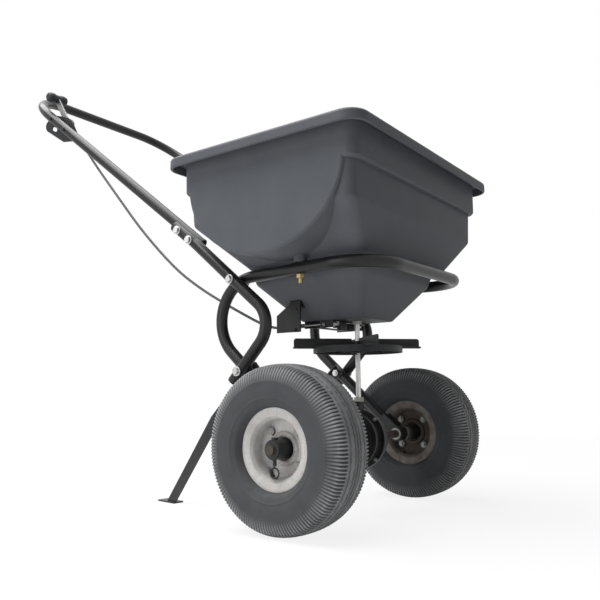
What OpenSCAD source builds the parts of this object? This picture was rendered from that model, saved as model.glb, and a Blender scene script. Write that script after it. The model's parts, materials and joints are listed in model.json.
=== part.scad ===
// Walk-behind broadcast spreader: moulded hopper, tube frame, ground-driven impeller.
// Right is +X, the walking direction is -Y, the handle is at +Y and up is +Z.

/* [Wheels and axle] */
// Outer diameter of each tyre
tyre_od = 275; // [240:1:310]
// Width of each tyre over its sidewalls
tyre_w = 99; // [80:1:110]
// Distance between the wheel centre planes
wheel_track = 458; // [440:1:520]
// Diameter of the rim over its flanges
rim_flange_d = 133.5; // [125:0.5:140]
// Diameter where the tyre bead sits
bead_seat_d = 101.6; // [98:0.1:104]
// Axle diameter
axle_d = 15.9; // [14:0.1:20]
// Hub tube outer diameter
hub_d = 32; // [28:1:36]
// Hub tube length
hub_l = 74; // [60:1:80]
// Circle that carries the four rim bolts
rim_bolt_circle = 75; // [70:1:80]
// Rim bolt diameter
rim_bolt_d = 8; // [6:1:8]

/* [Hopper] */
// Width over the rim of the hopper
rim_x = 550; // [500:2:600]
// Front edge of the rim ahead of the axle
rim_front = 175; // [150:1:190]
// Rear edge of the rim behind the axle
rim_rear = 256; // [230:1:280]
// Height of the rim top
rim_top_z = 668; // [660:1:720]
// Height of the rim skirt
rim_h = 20; // [15:1:24]
// Wall thickness of the moulding
wall = 4; // [3:0.5:5]
// Height of the crease where the funnel starts
crease_z = 536; // [520:1:560]
// Height of the outlet floor underside
floor_z = 362; // [362:1:370]
// Width of the outlet floor
floor_x = 124; // [116:2:130]
// Half width of the side bulge on top, front to rear
bulge_y = 172; // [150:1:175]
// Depth of the side bulge
bulge_z = 147; // [140:1:149]

/* [Frame tubes] */
// Outer diameter of the frame and handle tubes
tube_d = 22.2; // [20:0.2:24]
// Wall of the tubes
tube_wall = 1.8; // [1.5:0.1:2.5]
// Space between each tyre and the frame tube beside it
tyre_gap = 11.4; // [9:0.2:14]
// Height of the hopper ring
ring_z = 444; // [442:1:446]
// Bend radius of the side loops
loop_r = 81; // [78:1:84]
// Bend radius of the front corners of the ring
corner_r = 80; // [60:1:95]
// Bend radius of the lower handle tubes
lower_bend_r = 50; // [46:1:54]
// Slope of the handle over the ground
handle_slope = 39.5; // [38:0.5:41]
// Angle each handle leg flares outward
handle_flare = 7.8; // [7:0.2:8.5]
// Distance along the slope from the handle joint to the crossbar
handle_run = 686; // [600:2:720]
// Bend radius of the handle corners
handle_r = 116; // [100:1:125]
// Diameter of the frame bolts
frame_bolt_d = 7.9; // [6:0.1:8]

/* [Drive] */
// Impeller shaft diameter
shaft_d = 9.5; // [9:0.1:12]
// Diameter of the impeller dish
dish_d = 172; // [150:1:190]
// Diameter over the vane tips
vane_d = 252; // [240:2:270]
// Height of the dish top
dish_z = 312; // [306:1:314]
// Height of the vanes at their tips
vane_h = 16; // [12:1:18]
// Teeth of the drive gear on the axle
gear_teeth = 36; // [36:6:36]
// Teeth of the shaft pinion
pinion_teeth = 12; // [12:6:12]
// Gear module at the outer end of the teeth
gear_m = 2.2; // [2:0.05:2.3]
// Sideways play between two teeth
gear_play = 0.45; // [0.3:0.05:0.6]
// Running clearance of a shaft in its bore
run_fit = 0.05; // [0.03:0.01:0.08]

/* [Gate and control] */
// Travel of the gate from shut to open
gate_travel = 18.3; // [16:0.1:19]
// Length of each outlet along the travel
outlet_y = 17; // [14:0.5:18]
// Width of each outlet
outlet_x = 26; // [20:1:28]
// Thickness of the gate plate
gate_t = 2; // [1.5:0.1:2.2]
// Swing of the flow lever
lever_swing = 70; // [60:1:75]
// Length of the flow lever from pivot to grip
lever_l = 82; // [78:1:90]
// Angle of the lever over the handle leg when shut
lever_rest = 23; // [22:1:26]
// Outer diameter of the cable sheath
cable_d = 5.4; // [5:0.1:6]
// Diameter of the cable wire
wire_d = 1.8; // [1.5:0.1:2]

/* [Stand] */
// Width of each pressed stand leg
leg_w = 24; // [20:1:26]
// Sheet thickness of the stand leg
leg_t = 3; // [2.5:0.5:3.5]
// How far behind the axle the feet end
foot_rear = 430; // [410:1:450]

/* [Hidden] */
$fn = 64;
axle_z = tyre_od / 2;
tube_r = tube_d / 2;
touch = 0.3;

hopper_black = [0.17, 0.18, 0.19];
tube_black = [0.09, 0.09, 0.1];
tyre_black = [0.11, 0.11, 0.115];
rim_grey = [0.62, 0.6, 0.58];
zinc = [0.74, 0.74, 0.72];
brass_zinc = [0.72, 0.62, 0.38];
nylon = [0.82, 0.82, 0.78];
moulded = [0.13, 0.13, 0.14];
sheath_grey = [0.42, 0.43, 0.44];

// Distance between the two side loops of the frame tube, which stand inside the tyres
loop_x = wheel_track - tyre_w - tube_d - 2 * tyre_gap;

// Side profile of the tubes, measured from the axle
loop_c = [130, ring_z - loop_r];
loop_dir = atan2(loop_c[1] - axle_z, loop_c[0]);
loop_gap = norm([loop_c[0], loop_c[1] - axle_z]);
loop_slope = loop_dir - asin(loop_r / loop_gap);
loop_run = sqrt(loop_gap * loop_gap - loop_r * loop_r);
lower_x = loop_x / 2 + tube_d + touch;
lower_c = [133, 350];
lower_dir = 47;
join_y = 265;
join_z = lower_c[1] + lower_bend_r * cos(handle_slope)
  + (join_y - lower_c[0] + lower_bend_r * sin(handle_slope)) * tan(handle_slope);
low_a = [lower_c[0] - lower_bend_r * sin(lower_dir), lower_c[1] - lower_bend_r * cos(lower_dir)];

function handle_y(s) = join_y + s * cos(handle_slope);
function handle_z(s) = join_z + s * sin(handle_slope);
centre_y = (-rim_front + handle_y(handle_run) + tube_r) / 2;

// Where the straight part of the loop and the lower handle tube cross
cross_low_y = (low_a[1] + low_a[0] * tan(lower_dir) - axle_z)
  / (tan(loop_slope) + tan(lower_dir));
cross_low = [cross_low_y, axle_z + cross_low_y * tan(loop_slope)];
cross_top_y = 161.5;
cross_top = [cross_top_y, join_z + (cross_top_y - join_y) * tan(handle_slope)];

module placed() {
  translate([0, -centre_y, 0]) children();
}

module mirrored(side) {
  mirror([side < 0 ? 1 : 0, 0, 0]) children();
}

module both_sides() {
  children();
  mirror([1, 0, 0]) children();
}

// A cylinder along +X that starts at x
module rod_x(r, x, l) {
  translate([x, 0, 0]) rotate([0, 90, 0]) cylinder(r = r, h = l);
}

// A ring revolved about the X axis, profile given as [radius, x]
module turned_x(profile) {
  rotate([0, 90, 0]) rotate_extrude() polygon(profile);
}

module hex(af, h) {
  intersection_for(a = [0, 60, 120])
    rotate([0, 0, a]) translate([-af / 2, -af, 0]) cube([af, 2 * af, h]);
}

// Wheels
module at_wheel(side) {
  mirrored(side) translate([wheel_track / 2, 0, axle_z]) children();
}

tyre_r = tyre_od / 2;
flange_r = rim_flange_d / 2;
bead_r = bead_seat_d / 2;
sheet = 2;
half_w = tyre_w / 2;
tread_half = tyre_w * 0.36;
groove_at = [for (k = [-3 : 2 : 3]) k * tread_half / 4.2];

function crown(t) = tyre_r - 3.2 * pow(abs(t) / tread_half, 2.4);
function side_arc(a, g) = [
  (tyre_r + flange_r) / 2 - 3 + (tyre_r - flange_r) * 0.43 * sin(a) - g * sin(a),
  tread_half * 0.97 + (half_w - tread_half * 0.97) * pow(cos(a), 0.7) - g * pow(cos(a), 0.7)
];

tread_line = [for (k = groove_at) each [
  [crown(k - 2), k - 2], [tyre_r - 6, k - 1.2], [tyre_r - 6, k + 1.2], [crown(k + 2), k + 2]
]];
tyre_side = [
  [crown(tread_half), tread_half], for (a = [60 : -15 : -60]) side_arc(a, 0),
  [flange_r + 1.4, 35], [flange_r + 0.4, 33], [flange_r + 0.4, 30.2], [flange_r - 3, 30.4],
  [bead_r + 4, 27.6],
  [bead_r + 0.8, 24.5], [bead_r + 0.8, 18], [bead_r + 6, 16.5], [flange_r + 2, 25]
];
tyre_cavity = [for (a = [-60 : 15 : 60]) side_arc(a, 6)];

function flip(p) = [for (i = [len(p) - 1 : -1 : 0]) [p[i][0], -p[i][1]]];

module tyre() {
  inner = concat(tyre_cavity, [[tyre_r - 11, tread_half * 0.8]]);
  turned_x(concat(tread_line, tyre_side, inner, flip(inner), flip(tyre_side)));
}

tube_skin = [
  [tyre_r - 11.4, 0], [tyre_r - 11.4, tread_half * 0.78],
  for (a = [45 : -15 : -45]) side_arc(a, 6.4), [flange_r + 2, 24.2], [bead_r + 6, 15.8]
];

module inner_tube() {
  bottom = [bead_r + 1, 12];
  outer = concat(tube_skin, [bottom]);
  core = [
    [tyre_r - 13.4, 0], [tyre_r - 13.4, tread_half * 0.72],
    for (a = [45 : -15 : -45]) side_arc(a, 8.4), [flange_r + 3, 21.6], [bead_r + 7, 13.8],
    [bead_r + 3, 10], [bead_r + 3, 0]
  ];
  difference() {
    turned_x(concat(outer, [for (i = [len(outer) - 1 : -1 : 1]) [outer[i][0], -outer[i][1]]]));
    turned_x(concat(core, [for (i = [len(core) - 2 : -1 : 1]) [core[i][0], -core[i][1]]]));
    at_valve() cylinder(d = valve_d, h = 60, center = true);
  }
}

valve_d = 7;
module at_valve() {
  rotate([200, 0, 0]) translate([13, 0, bead_r - 1]) rotate([0, 135, 0]) children();
}

function rim_face(g) = [
  [hub_d / 2 + 1 + g / 2, sheet + g], [hub_d / 2 + 2 + g / 2, sheet + g],
  [hub_d / 2 + 4, sheet + g + 4], [hub_d / 2 + 10, sheet + g + 4],
  [hub_d / 2 + 12.5, sheet + g], [bead_r - 6.5 - g * 0.4, sheet + g],
  [bead_r - 3.4 - g * 0.8, sheet + 3 + g * 0.8], [bead_r - 1.6 - g, 20],
  [bead_r - 0.2 - g * 0.95, 25.4], [bead_r + 3 - g * 0.5, 28.8 + g * 0.9],
  [flange_r - 3, 31 + g], [flange_r, 30.6 + g]
];

module rim_half() {
  back = rim_face(0);
  front = rim_face(sheet);
  difference() {
    turned_x(concat(back, [for (i = [len(front) - 1 : -1 : 0]) front[i]]));
    rim_bolt_holes();
    at_valve() cylinder(d = valve_d + 1, h = 60, center = true);
  }
}

module rim_bolt_holes() {
  for (a = [45 : 90 : 315])
    rotate([a, 0, 0]) translate([0, 0, rim_bolt_circle / 2]) rod_x(rim_bolt_d / 2 + 0.1, -12, 24);
}

module hub() {
  difference() {
    union() {
      rod_x(hub_d / 2, -hub_l / 2, hub_l);
      rod_x(bead_r - 5.5, -sheet, 2 * sheet);
    }
    rod_x(bush_r, -hub_l, 2 * hub_l);
    rim_bolt_holes();
    translate([pin_t, 0, -40]) cylinder(d = pin_d, h = 80);
  }
}

bush_r = axle_d / 2 + 2.6;
bush_l = 24;
pin_d = 6;
pin_t = hub_l / 2 - 6;

module hub_bushes() {
  difference() {
    for (s = [-1, 1])
      mirrored(s) translate([hub_l / 2 - bush_l, 0, 0]) {
        rod_x(bush_r, 0, bush_l);
        rod_x(hub_d / 2 - 1.5, bush_l, 2);
      }
    rod_x(axle_d / 2 + run_fit, -hub_l, 2 * hub_l);
    translate([pin_t, 0, -40]) cylinder(d = pin_d, h = 80);
  }
}

module rim_bolts() {
  for (a = [45 : 90 : 315])
    rotate([a, 0, 0]) translate([0, 0, rim_bolt_circle / 2]) {
      rod_x(rim_bolt_d / 2, -14, 14 + 2 * sheet);
      translate([2 * sheet, 0, 0]) rotate([0, 90, 0]) hex(rim_bolt_d * 1.6, 5);
      translate([2 * sheet + 5, 0, 0]) rotate([0, 90, 0]) cylinder(r = rim_bolt_d / 2, h = 0.6);
      translate([-2 * sheet - 6, 0, 0]) rotate([0, 90, 0]) hex(rim_bolt_d * 1.6, 6);
    }
}

module valve() {
  at_valve() {
    translate([0, 0, -4]) cylinder(d = valve_d, h = 22);
    translate([0, 0, 18]) cylinder(d = valve_d - 1.5, h = 7);
  }
}

// Axle line
hub_in = wheel_track / 2 - hub_l / 2 - 2;
axle_half = wheel_track / 2 + hub_l / 2 + 8.8;
bearing_l = 26;
bearing_x = loop_x / 2;
bearing_r = axle_d / 2 + 4;
housing_r = bearing_r + 3.5;
collar_r = axle_d / 2 + 4.5;
drive_pin_x = wheel_track / 2 + pin_t;
cotter_x = wheel_track / 2 + hub_l / 2 + 5.7;

module on_axle() {
  translate([0, 0, axle_z]) children();
}

module axle() {
  on_axle() difference() {
    rod_x(axle_d / 2, -axle_half, 2 * axle_half);
    translate([-drive_pin_x, 0, -20]) cylinder(d = pin_d, h = 40);
    translate([cotter_x, 0, -20]) cylinder(d = cotter_d, h = 40);
    translate([gear_pin_x, 0, -20]) cylinder(d = roll_d, h = 40);
  }
}

cotter_d = 3.2;
roll_d = 3;

module drive_pin() {
  on_axle() translate([-drive_pin_x, 0, 0]) {
    translate([0, 0, -hub_d / 2 - 9]) cylinder(d = pin_d, h = hub_d + 9);
    translate([0, 0, hub_d / 2]) cylinder(d = pin_d + 5, h = 3);
    difference() {
      translate([0, 0, -hub_d / 2 - 21]) rotate([0, 90, 0])
        rotate_extrude() translate([8, 0]) circle(d = 2.4, $fn = 24);
      translate([0, 0, -hub_d / 2 - 9]) cylinder(d = pin_d, h = 12);
    }
  }
}

module wheel_cotter() {
  on_axle() translate([cotter_x, 0, 0]) {
    translate([0, 0, -axle_d / 2 - 7]) cylinder(d = cotter_d, h = axle_d + 8.6);
    translate([0, 0, axle_d / 2 + 4.6]) rotate([0, 90, 0])
      rotate_extrude() translate([3.2, 0]) circle(d = 2.2, $fn = 24);
  }
}

module washer_x(x, t, r) {
  on_axle() difference() {
    rod_x(r, x, t);
    rod_x(axle_d / 2, x - 1, t + 2);
  }
}

module end_washers() {
  washer_x(wheel_track / 2 + hub_l / 2 + 2 + touch, 1.5, hub_d / 2 - 1);
}

module axle_spacers() {
  inner_end = bearing_x + bearing_l / 2 + 2 + touch;
  both_sides() washer_x(inner_end, hub_in - touch - inner_end, collar_r);
}

module axle_bearings() {
  both_sides() on_axle() difference() {
    union() {
      rod_x(bearing_r, bearing_x - bearing_l / 2, bearing_l);
      rod_x(housing_r, bearing_x + bearing_l / 2, 2);
    }
    rod_x(axle_d / 2 + run_fit, bearing_x - bearing_l, 2 * bearing_l);
  }
}

module axle_brackets() {
  both_sides() on_axle() difference() {
    union() {
      rod_x(housing_r, bearing_x - bearing_l / 2, bearing_l);
      for (x = [bearing_x - bearing_l / 2, bearing_x + bearing_l / 2 - 2])
        translate([x, 0, 0]) rotate([loop_slope, 0, 0])
          translate([0, 0, -13]) cube([2, 48, 26]);
    }
    rod_x(bearing_r, bearing_x - bearing_l, 2 * bearing_l);
  }
}

// Bevel gears
apex_gear = gear_m * gear_teeth / 2;
apex_pinion = gear_m * pinion_teeth / 2;
cone_l = norm([apex_gear, apex_pinion]);
face_k = 0.7;
tooth_a = 0.8 * gear_m;
tooth_d = 1.05 * gear_m;

function on_cone(delta, h, ang, k) = [
  k * (cone_l * sin(delta) + h * cos(delta)) * cos(ang),
  k * (cone_l * sin(delta) + h * cos(delta)) * sin(ang),
  k * (cone_l * cos(delta) - h * sin(delta))
];

// Toothed cone with its apex at the origin and its teeth facing the apex
module bevel(n, half_gap) {
  delta = atan2(n, gear_teeth + pinion_teeth - n);
  pitch_r = cone_l * sin(delta);
  pitch_t = PI * gear_m / 4 - gear_play / 2;
  tip_t = (pitch_t - tooth_a * 0.42) / pitch_r * 180 / PI;
  root_t = (pitch_t + tooth_d * 0.36) / pitch_r * 180 / PI;
  shift = half_gap ? 180 / n : 0;
  ring = function(k) [for (i = [0 : n - 1]) let (c = i * 360 / n + shift) each [
    on_cone(delta, -tooth_d, c - root_t, k), on_cone(delta, tooth_a, c - tip_t, k),
    on_cone(delta, tooth_a, c + tip_t, k), on_cone(delta, -tooth_d, c + root_t, k)
  ]];
  m = 4 * n;
  back_z = cone_l * cos(delta) + tooth_d * sin(delta);
  pts = concat(ring(face_k), ring(1), [[0, 0, face_k * back_z], [0, 0, back_z + 0.5]]);
  sides = [for (j = [0 : m - 1]) let (q = (j + 1) % m) each [[j, m + j, m + q], [j, m + q, q]]];
  caps = [for (j = [0 : m - 1]) let (q = (j + 1) % m) each [[2 * m, j, q], [2 * m + 1, m + q, m + j]]];
  polyhedron(points = pts, faces = concat(sides, caps), convexity = 8);
}

gear_back = apex_pinion + 4.2;
gear_hub_end = gear_back + 6.5;
gear_pin_x = gear_back + 3.2;

module drive_gear() {
  on_axle() difference() {
    union() {
      rotate([0, 90, 0]) bevel(gear_teeth, true);
      rod_x(apex_gear - 6, apex_pinion + 1, gear_back - apex_pinion - 1);
      rod_x(11, apex_pinion, gear_hub_end - apex_pinion);
    }
    rod_x(axle_d / 2, -5, 60);
    translate([gear_pin_x, 0, -20]) cylinder(d = roll_d, h = 40);
  }
}

module gear_pin() {
  on_axle() translate([gear_pin_x, 0, -10.5]) cylinder(d = roll_d, h = 21);
}

pinion_back = apex_gear + 1.2;
pinion_pin_z = apex_gear * 0.87;

module pinion() {
  on_axle() difference() {
    union() {
      bevel(pinion_teeth, false);
      translate([0, 0, apex_gear * 0.8]) cylinder(r = shaft_d / 2 + 3, h = pinion_back - apex_gear * 0.8);
    }
    cylinder(d = shaft_d, h = 60);
    translate([0, 20, pinion_pin_z]) rotate([90, 0, 0]) cylinder(d = 2.4, h = 40);
  }
}

module pinion_pin() {
  on_axle() translate([0, 8, pinion_pin_z]) rotate([90, 0, 0]) cylinder(d = 2.4, h = 16);
}

// Gear case
case_r = apex_gear + 5.5;
case_wall = 2.5;
screw_head_r = 3.6;
case_flange_r = case_r + case_wall + 2 * screw_head_r + 0.8;
case_out = [apex_pinion + 6, gear_hub_end + 1.5];
neck_r = 9.5;
neck_top = axle_z + 70;
screw_r = case_r + case_wall + screw_head_r + touch;

module case_half(depth) {
  difference() {
    union() {
      on_axle() {
        rod_x(case_flange_r, 0, case_wall);
        rod_x(case_r + case_wall, 0, depth);
        rod_x(case_r - 8, depth, case_wall);
        rod_x(collar_r + 2, depth, case_wall + 3);
      }
      translate([0, 0, axle_z + case_r]) cylinder(r = neck_r, h = neck_top - axle_z - case_r);
    }
    on_axle() {
      rod_x(case_r, -1, depth - case_wall + 1);
      rod_x(case_r - 9.5, depth - case_wall - 1, case_wall + 1);
      rod_x(axle_d / 2 + run_fit, -1, depth + 20);
      for (a = [45 : 90 : 315])
        rotate([a, 0, 0]) translate([0, 0, screw_r]) rod_x(2, -1, 10);
    }
    translate([0, 0, axle_z + 20]) cylinder(r = lower_bush_r, h = 90);
    translate([-60, -60, 0]) cube([60, 120, 400]);
  }
}

lower_bush_r = shaft_d / 2 + 2.2;

module case_screws() {
  on_axle() for (a = [45 : 90 : 315])
    rotate([a, 0, 0]) translate([0, 0, screw_r]) {
      rod_x(2, -case_wall - 4, 2 * case_wall + 4);
      rod_x(screw_head_r, -case_wall - 3, 3);
      rod_x(screw_head_r, case_wall, 2.4);
    }
}

module shaft_bush_lower() {
  difference() {
    union() {
      translate([0, 0, axle_z + case_r + 1]) cylinder(r = lower_bush_r, h = neck_top - axle_z - case_r - 1);
      translate([0, 0, neck_top]) cylinder(r = neck_r, h = 8);
    }
    cylinder(r = shaft_d / 2 + run_fit, h = 500);
  }
}

// Impeller
shaft_low = axle_z + 0.62 * apex_gear;
shaft_top = floor_z + 34;
agitator_z = floor_z + 20;
vane_t = 2.6;
dish_t = 3;
hub_h = 12;
hairpin_z = dish_z - hub_h - 1.5 - touch;

module impeller_shaft() {
  difference() {
    translate([0, 0, shaft_low]) cylinder(d = shaft_d, h = shaft_top - shaft_low);
    translate([0, 20, axle_z + pinion_pin_z]) rotate([90, 0, 0]) cylinder(d = 2.4, h = 40);
    translate([-20, 0, agitator_z]) rod_x(2, 0, 40);
    translate([-20, 0, hairpin_z]) rod_x(1.5, 0, 40);
  }
}

module vane() {
  l = vane_d / 2;
  difference() {
    union() {
      translate([12, -vane_t / 2, dish_z]) cube([l - 12, vane_t, vane_h]);
      translate([dish_d / 2 - 8, -vane_t / 2 - 16, dish_z - dish_t]) cube([l - dish_d / 2 + 8, 16 + vane_t, dish_t]);
      translate([12, -vane_t / 2 - 16, dish_z]) cube([l - 18, 16 + vane_t, 1.2]);
    }
    translate([l - 5, 0, dish_z + vane_h - 5]) rotate([90, 0, 0]) difference() {
      translate([0, 0, -5]) cube([8, 8, 10]);
      cylinder(r = 5, h = 20, center = true);
    }
    translate([l - 8, -vane_t / 2 - 8, dish_z - 6]) difference() {
      translate([0, -10, 0]) cube([10, 10, 12]);
      cylinder(r = 8, h = 40, center = true);
    }
    translate([12 - 1, -30, dish_z - 1]) cube([12, 30 - 2.6, 8]);
  }
}

module impeller() {
  difference() {
    union() {
      difference() {
        translate([0, 0, dish_z - vane_h + 4]) cylinder(d = dish_d, h = vane_h - 4);
        translate([0, 0, dish_z - vane_h + 3]) cylinder(d = dish_d - 6, h = vane_h - 2 - dish_t);
      }
      translate([0, 0, dish_z - hub_h]) cylinder(r = 13, h = hub_h + 11);
      for (a = [48 : 90 : 318]) rotate([0, 0, a]) vane();
      for (a = [0 : 60 : 300]) rotate([0, 0, a]) translate([12, -1, dish_z - 8]) cube([dish_d / 2 - 14, 2, 6]);
    }
    cylinder(d = shaft_d, h = 500);
  }
}

module impeller_pin() {
  translate([-12, 0, hairpin_z]) rod_x(1.5, 0, 24);
  translate([12, 0, hairpin_z - 4.4]) rotate([90, 0, 0]) rotate_extrude()
    translate([4.2, 0]) circle(r = 1.3, $fn = 24);
}

module agitator() {
  r = 30;
  rod = 2;
  for (s = [0, 180]) rotate([0, 0, s]) {
    translate([0, 0, agitator_z]) rod_x(rod, 0, r + 0.5);
    translate([r, 0, agitator_z + 7]) rotate([90, 0, 0]) rotate([0, 0, -90])
      rotate_extrude(angle = 90) translate([7, 0]) circle(r = rod - 0.03);
    translate([r + 7, 0, agitator_z + 6.5]) cylinder(r = rod, h = 10);
  }
}

// Hopper
half_x = rim_x / 2;
floor_half = floor_x / 2;
neck_z = ring_z + tube_r;
cone_half = loop_x / 2 - 22;
crease_half = half_x - 33;
collar_z = rim_top_z - 70;

// Rings of the body as [z, half width, front y, rear y, corner radius]
body_rings = [
  [floor_z, floor_half, -49, 92, 10],
  [ring_z - tube_r, cone_half, -94, 152, 18],
  [neck_z, loop_x / 2 - tube_r - 2.6, -100, 151, 18],
  [neck_z + 8, loop_x / 2 + 7, -113, 151, 20],
  [crease_z, crease_half, -142, 215, 20],
  [collar_z + 4, crease_half + 4, -143, 218, 20]
];
collar_rings = [
  [collar_z, half_x - 25, 22 - rim_front, rim_rear - 27, 20],
  [rim_top_z - 4, half_x - 24.5, 21 - rim_front, rim_rear - 25, 22]
];
corner_k = 5;

function ring_at(r, g) = [for (c = [0 : 3]) for (i = [0 : corner_k])
  let (a = 90 * c + 90 * i / corner_k, q = r[4] - g, x = r[1] - g - q)
  [(c == 0 || c == 3 ? x : -x) + q * cos(a), (c < 2 ? r[3] - g - q : r[2] + g + q) + q * sin(a), r[0]]
];

module loft(rings) {
  n = 4 * (corner_k + 1);
  m = len(rings);
  pts = [for (r = rings) each r];
  sides = [for (i = [0 : m - 2]) for (j = [0 : n - 1]) let (q = (j + 1) % n) each
    [[i * n + j, (i + 1) * n + j, (i + 1) * n + q], [i * n + j, (i + 1) * n + q, i * n + q]]];
  polyhedron(points = pts, faces = concat(sides, [[for (j = [0 : n - 1]) j]],
    [[for (j = [n - 1 : -1 : 0]) (m - 1) * n + j]]), convexity = 6);
}

function lower_at(r, z) = let (f = (z - r[0][0]) / (r[1][0] - r[0][0])) r[0] + (r[1] - r[0]) * f;

module rounded(hx, y0, y1, r, z, h) {
  translate([0, (y0 + y1) / 2, z]) linear_extrude(height = h) union() {
    square([2 * hx, y1 - y0 - 2 * r], center = true);
    square([2 * hx - 2 * r, y1 - y0], center = true);
    for (sx = [-1, 1], sy = [-1, 1])
      translate([sx * (hx - r), sy * ((y1 - y0) / 2 - r)]) circle(r = r);
  }
}

bulge_c = [40, 610];
bulge_out = half_x - 24;

// Round-bottomed trough across the hopper that makes the bulge on each side
module trough(g) {
  ry = bulge_y - g;
  rz = bulge_z - g;
  arc = [for (a = [180 : 7.5 : 360]) [bulge_c[0] + ry * cos(a), bulge_c[1] + rz * sin(a)]];
  top = rim_top_z - wall - 2;
  shape = concat(arc, [[bulge_c[0] + ry, top], [bulge_c[0] - ry, top]]);
  translate([-bulge_out + g, 0, 0]) rotate([90, 0, 90])
    linear_extrude(height = 2 * (bulge_out - g)) polygon(shape);
}

hopper_bolt_y = [8];
bolt_head_r = 9;
function ring_x(y) = loop_x / 2 + flare_r * (1 - cos(flare_a)) + (flare_end_y - y) * tan(flare_a);
// Height of the flat boss top inside the sloping wall
function boss_top(y) = neck_z + 10
  + (ring_x(y) + 12 - body_rings[3][1] + wall) * (crease_z - neck_z - 8) / (crease_half - body_rings[3][1]);

outlet_start = 50;
outlet_gap = 13;

module outlets(y0, z, h) {
  for (s = [-1, 1])
    translate([s * (outlet_gap + outlet_x / 2) - outlet_x / 2, y0, z]) cube([outlet_x, outlet_y, h]);
}

upper_bush_r = shaft_d / 2 + 4;

module hopper_shell() {
  difference() {
    union() {
      loft([for (r = body_rings) ring_at(r, 0)]);
      loft([for (r = collar_rings) ring_at(r, 0)]);
      trough(0);
      difference() {
        rounded(half_x, -rim_front, rim_rear, 20, rim_top_z - rim_h, rim_h);
        rounded(half_x - wall, wall - rim_front, rim_rear - wall, 16, rim_top_z - rim_h - 1, rim_h - wall + 1);
      }
    }
    loft(concat([ring_at(lower_at(body_rings, floor_z + wall), wall)],
      [for (i = [1 : 5]) ring_at(body_rings[i] + [wall * 0.5, 0, 0, 0, 0], wall)]));
    loft([ring_at(collar_rings[0] + [wall, 0, 0, 0, 0], wall),
      ring_at(collar_rings[1] + [8, 0.5, -0.5, 0.5, 0], wall)]);
    translate([0, 0, collar_z - 12]) rounded(crease_half, -138, 213, 18, 0, 24);
    trough(wall);
  }
}

module hopper() {
  difference() {
    union() {
      hopper_shell();
      both_sides() for (y = hopper_bolt_y)
        translate([ring_x(y), y, neck_z]) cylinder(r = 12, h = boss_top(y) - neck_z);
    }
    translate([0, 0, floor_z - 1]) cylinder(r = upper_bush_r, h = 20);
    outlets(outlet_start, floor_z - 1, 20);
    both_sides() for (y = hopper_bolt_y)
      translate([ring_x(y), y, 300]) cylinder(d = frame_bolt_d + 0.2, h = 300);
    gate_screw_places() translate([0, 0, -1]) cylinder(d = 5.2, h = 20);
    bracket_screw_places() cylinder(d = 5.2, h = 30, center = true);
  }
}

module hopper_bolts() {
  both_sides() for (y = hopper_bolt_y)
    translate([ring_x(y), y, 0]) {
      translate([0, 0, ring_z - tube_r - 16]) cylinder(d = frame_bolt_d, h = boss_top(y) - ring_z + tube_r + 16);
      translate([0, 0, ring_z - tube_r - 7]) hex(13, 7);
      translate([0, 0, boss_top(y)]) cylinder(r = bolt_head_r, h = 3);
    }
}

module shaft_bush_upper() {
  difference() {
    union() {
      translate([0, 0, floor_z - 6]) cylinder(r = upper_bush_r, h = 6 + wall);
      translate([0, 0, floor_z + wall]) cylinder(r = upper_bush_r + 4, h = 3);
    }
    cylinder(r = shaft_d / 2 + run_fit, h = 500);
  }
}

// Gate
gate_top = floor_z - 0.6;
gate_half = 46;
gate_front = 16;
gate_rear = 90;
guide_y = [18, 84];
guide_lip = 5;
arm_z = floor_z - 19;
wire_x = 96;
wire_z = floor_z - 12;

module gate_plate() {
  difference() {
    union() {
      translate([-gate_half, gate_front, gate_top - gate_t]) cube([2 * gate_half, gate_rear - gate_front, gate_t]);
      translate([-36, gate_front, arm_z]) cube([24, gate_t, gate_top - arm_z - 0.5]);
      translate([-wire_x - 5, gate_front, arm_z]) cube([wire_x - 7, 12, gate_t]);
      translate([-wire_x - 5, gate_front, arm_z]) cube([10, gate_t, 14]);
    }
    outlets(outlet_start - gate_travel, gate_top - gate_t - 1, gate_t + 2);
    translate([-wire_x, gate_front - 1, wire_z]) rotate([-90, 0, 0]) cylinder(r = 1.5, h = 6);
  }
}

module gate_guides() {
  web = floor_z - gate_top + gate_t + 0.6 + guide_lip / 2;
  both_sides() difference() {
    union() {
      translate([gate_half + 0.3, guide_y[0], floor_z - web]) cube([12, guide_y[1] - guide_y[0], web]);
      translate([gate_half - guide_lip, guide_y[0], floor_z - web])
        cube([guide_lip + 1, guide_y[1] - guide_y[0], guide_lip / 2]);
      translate([gate_half + 10.3, guide_y[0], floor_z - 14]) cube([2, guide_y[1] - guide_y[0], 14]);
    }
    gate_screw_places_right() translate([0, 0, -30]) cylinder(d = 5.2, h = 50);
  }
}

module gate_screw_places_right() {
  for (y = [26, 62]) translate([gate_half + 5.2, y, floor_z]) children();
}

module gate_screw_places() {
  both_sides() gate_screw_places_right() children();
}

module gate_screws() {
  web = floor_z - gate_top + gate_t + 0.6 + guide_lip / 2;
  gate_screw_places() {
    translate([0, 0, -web]) cylinder(d = 5, h = web + wall + 5);
    translate([0, 0, -web - 3]) cylinder(d = 8.5, h = 3);
    translate([0, 0, wall]) hex(8, 3.5);
  }
}

end_tube_y = [58, 114];
end_tube_r = 4;

module gate_rod() {
  translate([-wire_x, gate_front - 3, wire_z]) rotate([-90, 0, 0]) {
    cylinder(r = 1.5, h = end_tube_y[0] + 14 - gate_front);
    cylinder(r = 3, h = 3);
  }
}

module cable_end_tube() {
  difference() {
    translate([-wire_x, end_tube_y[0], wire_z]) rotate([-90, 0, 0]) cylinder(r = end_tube_r, h = end_tube_y[1] - end_tube_y[0]);
    translate([-wire_x, end_tube_y[0] - 1, wire_z]) rotate([-90, 0, 0]) cylinder(r = 1.5 + run_fit, h = 49);
  }
}

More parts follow.
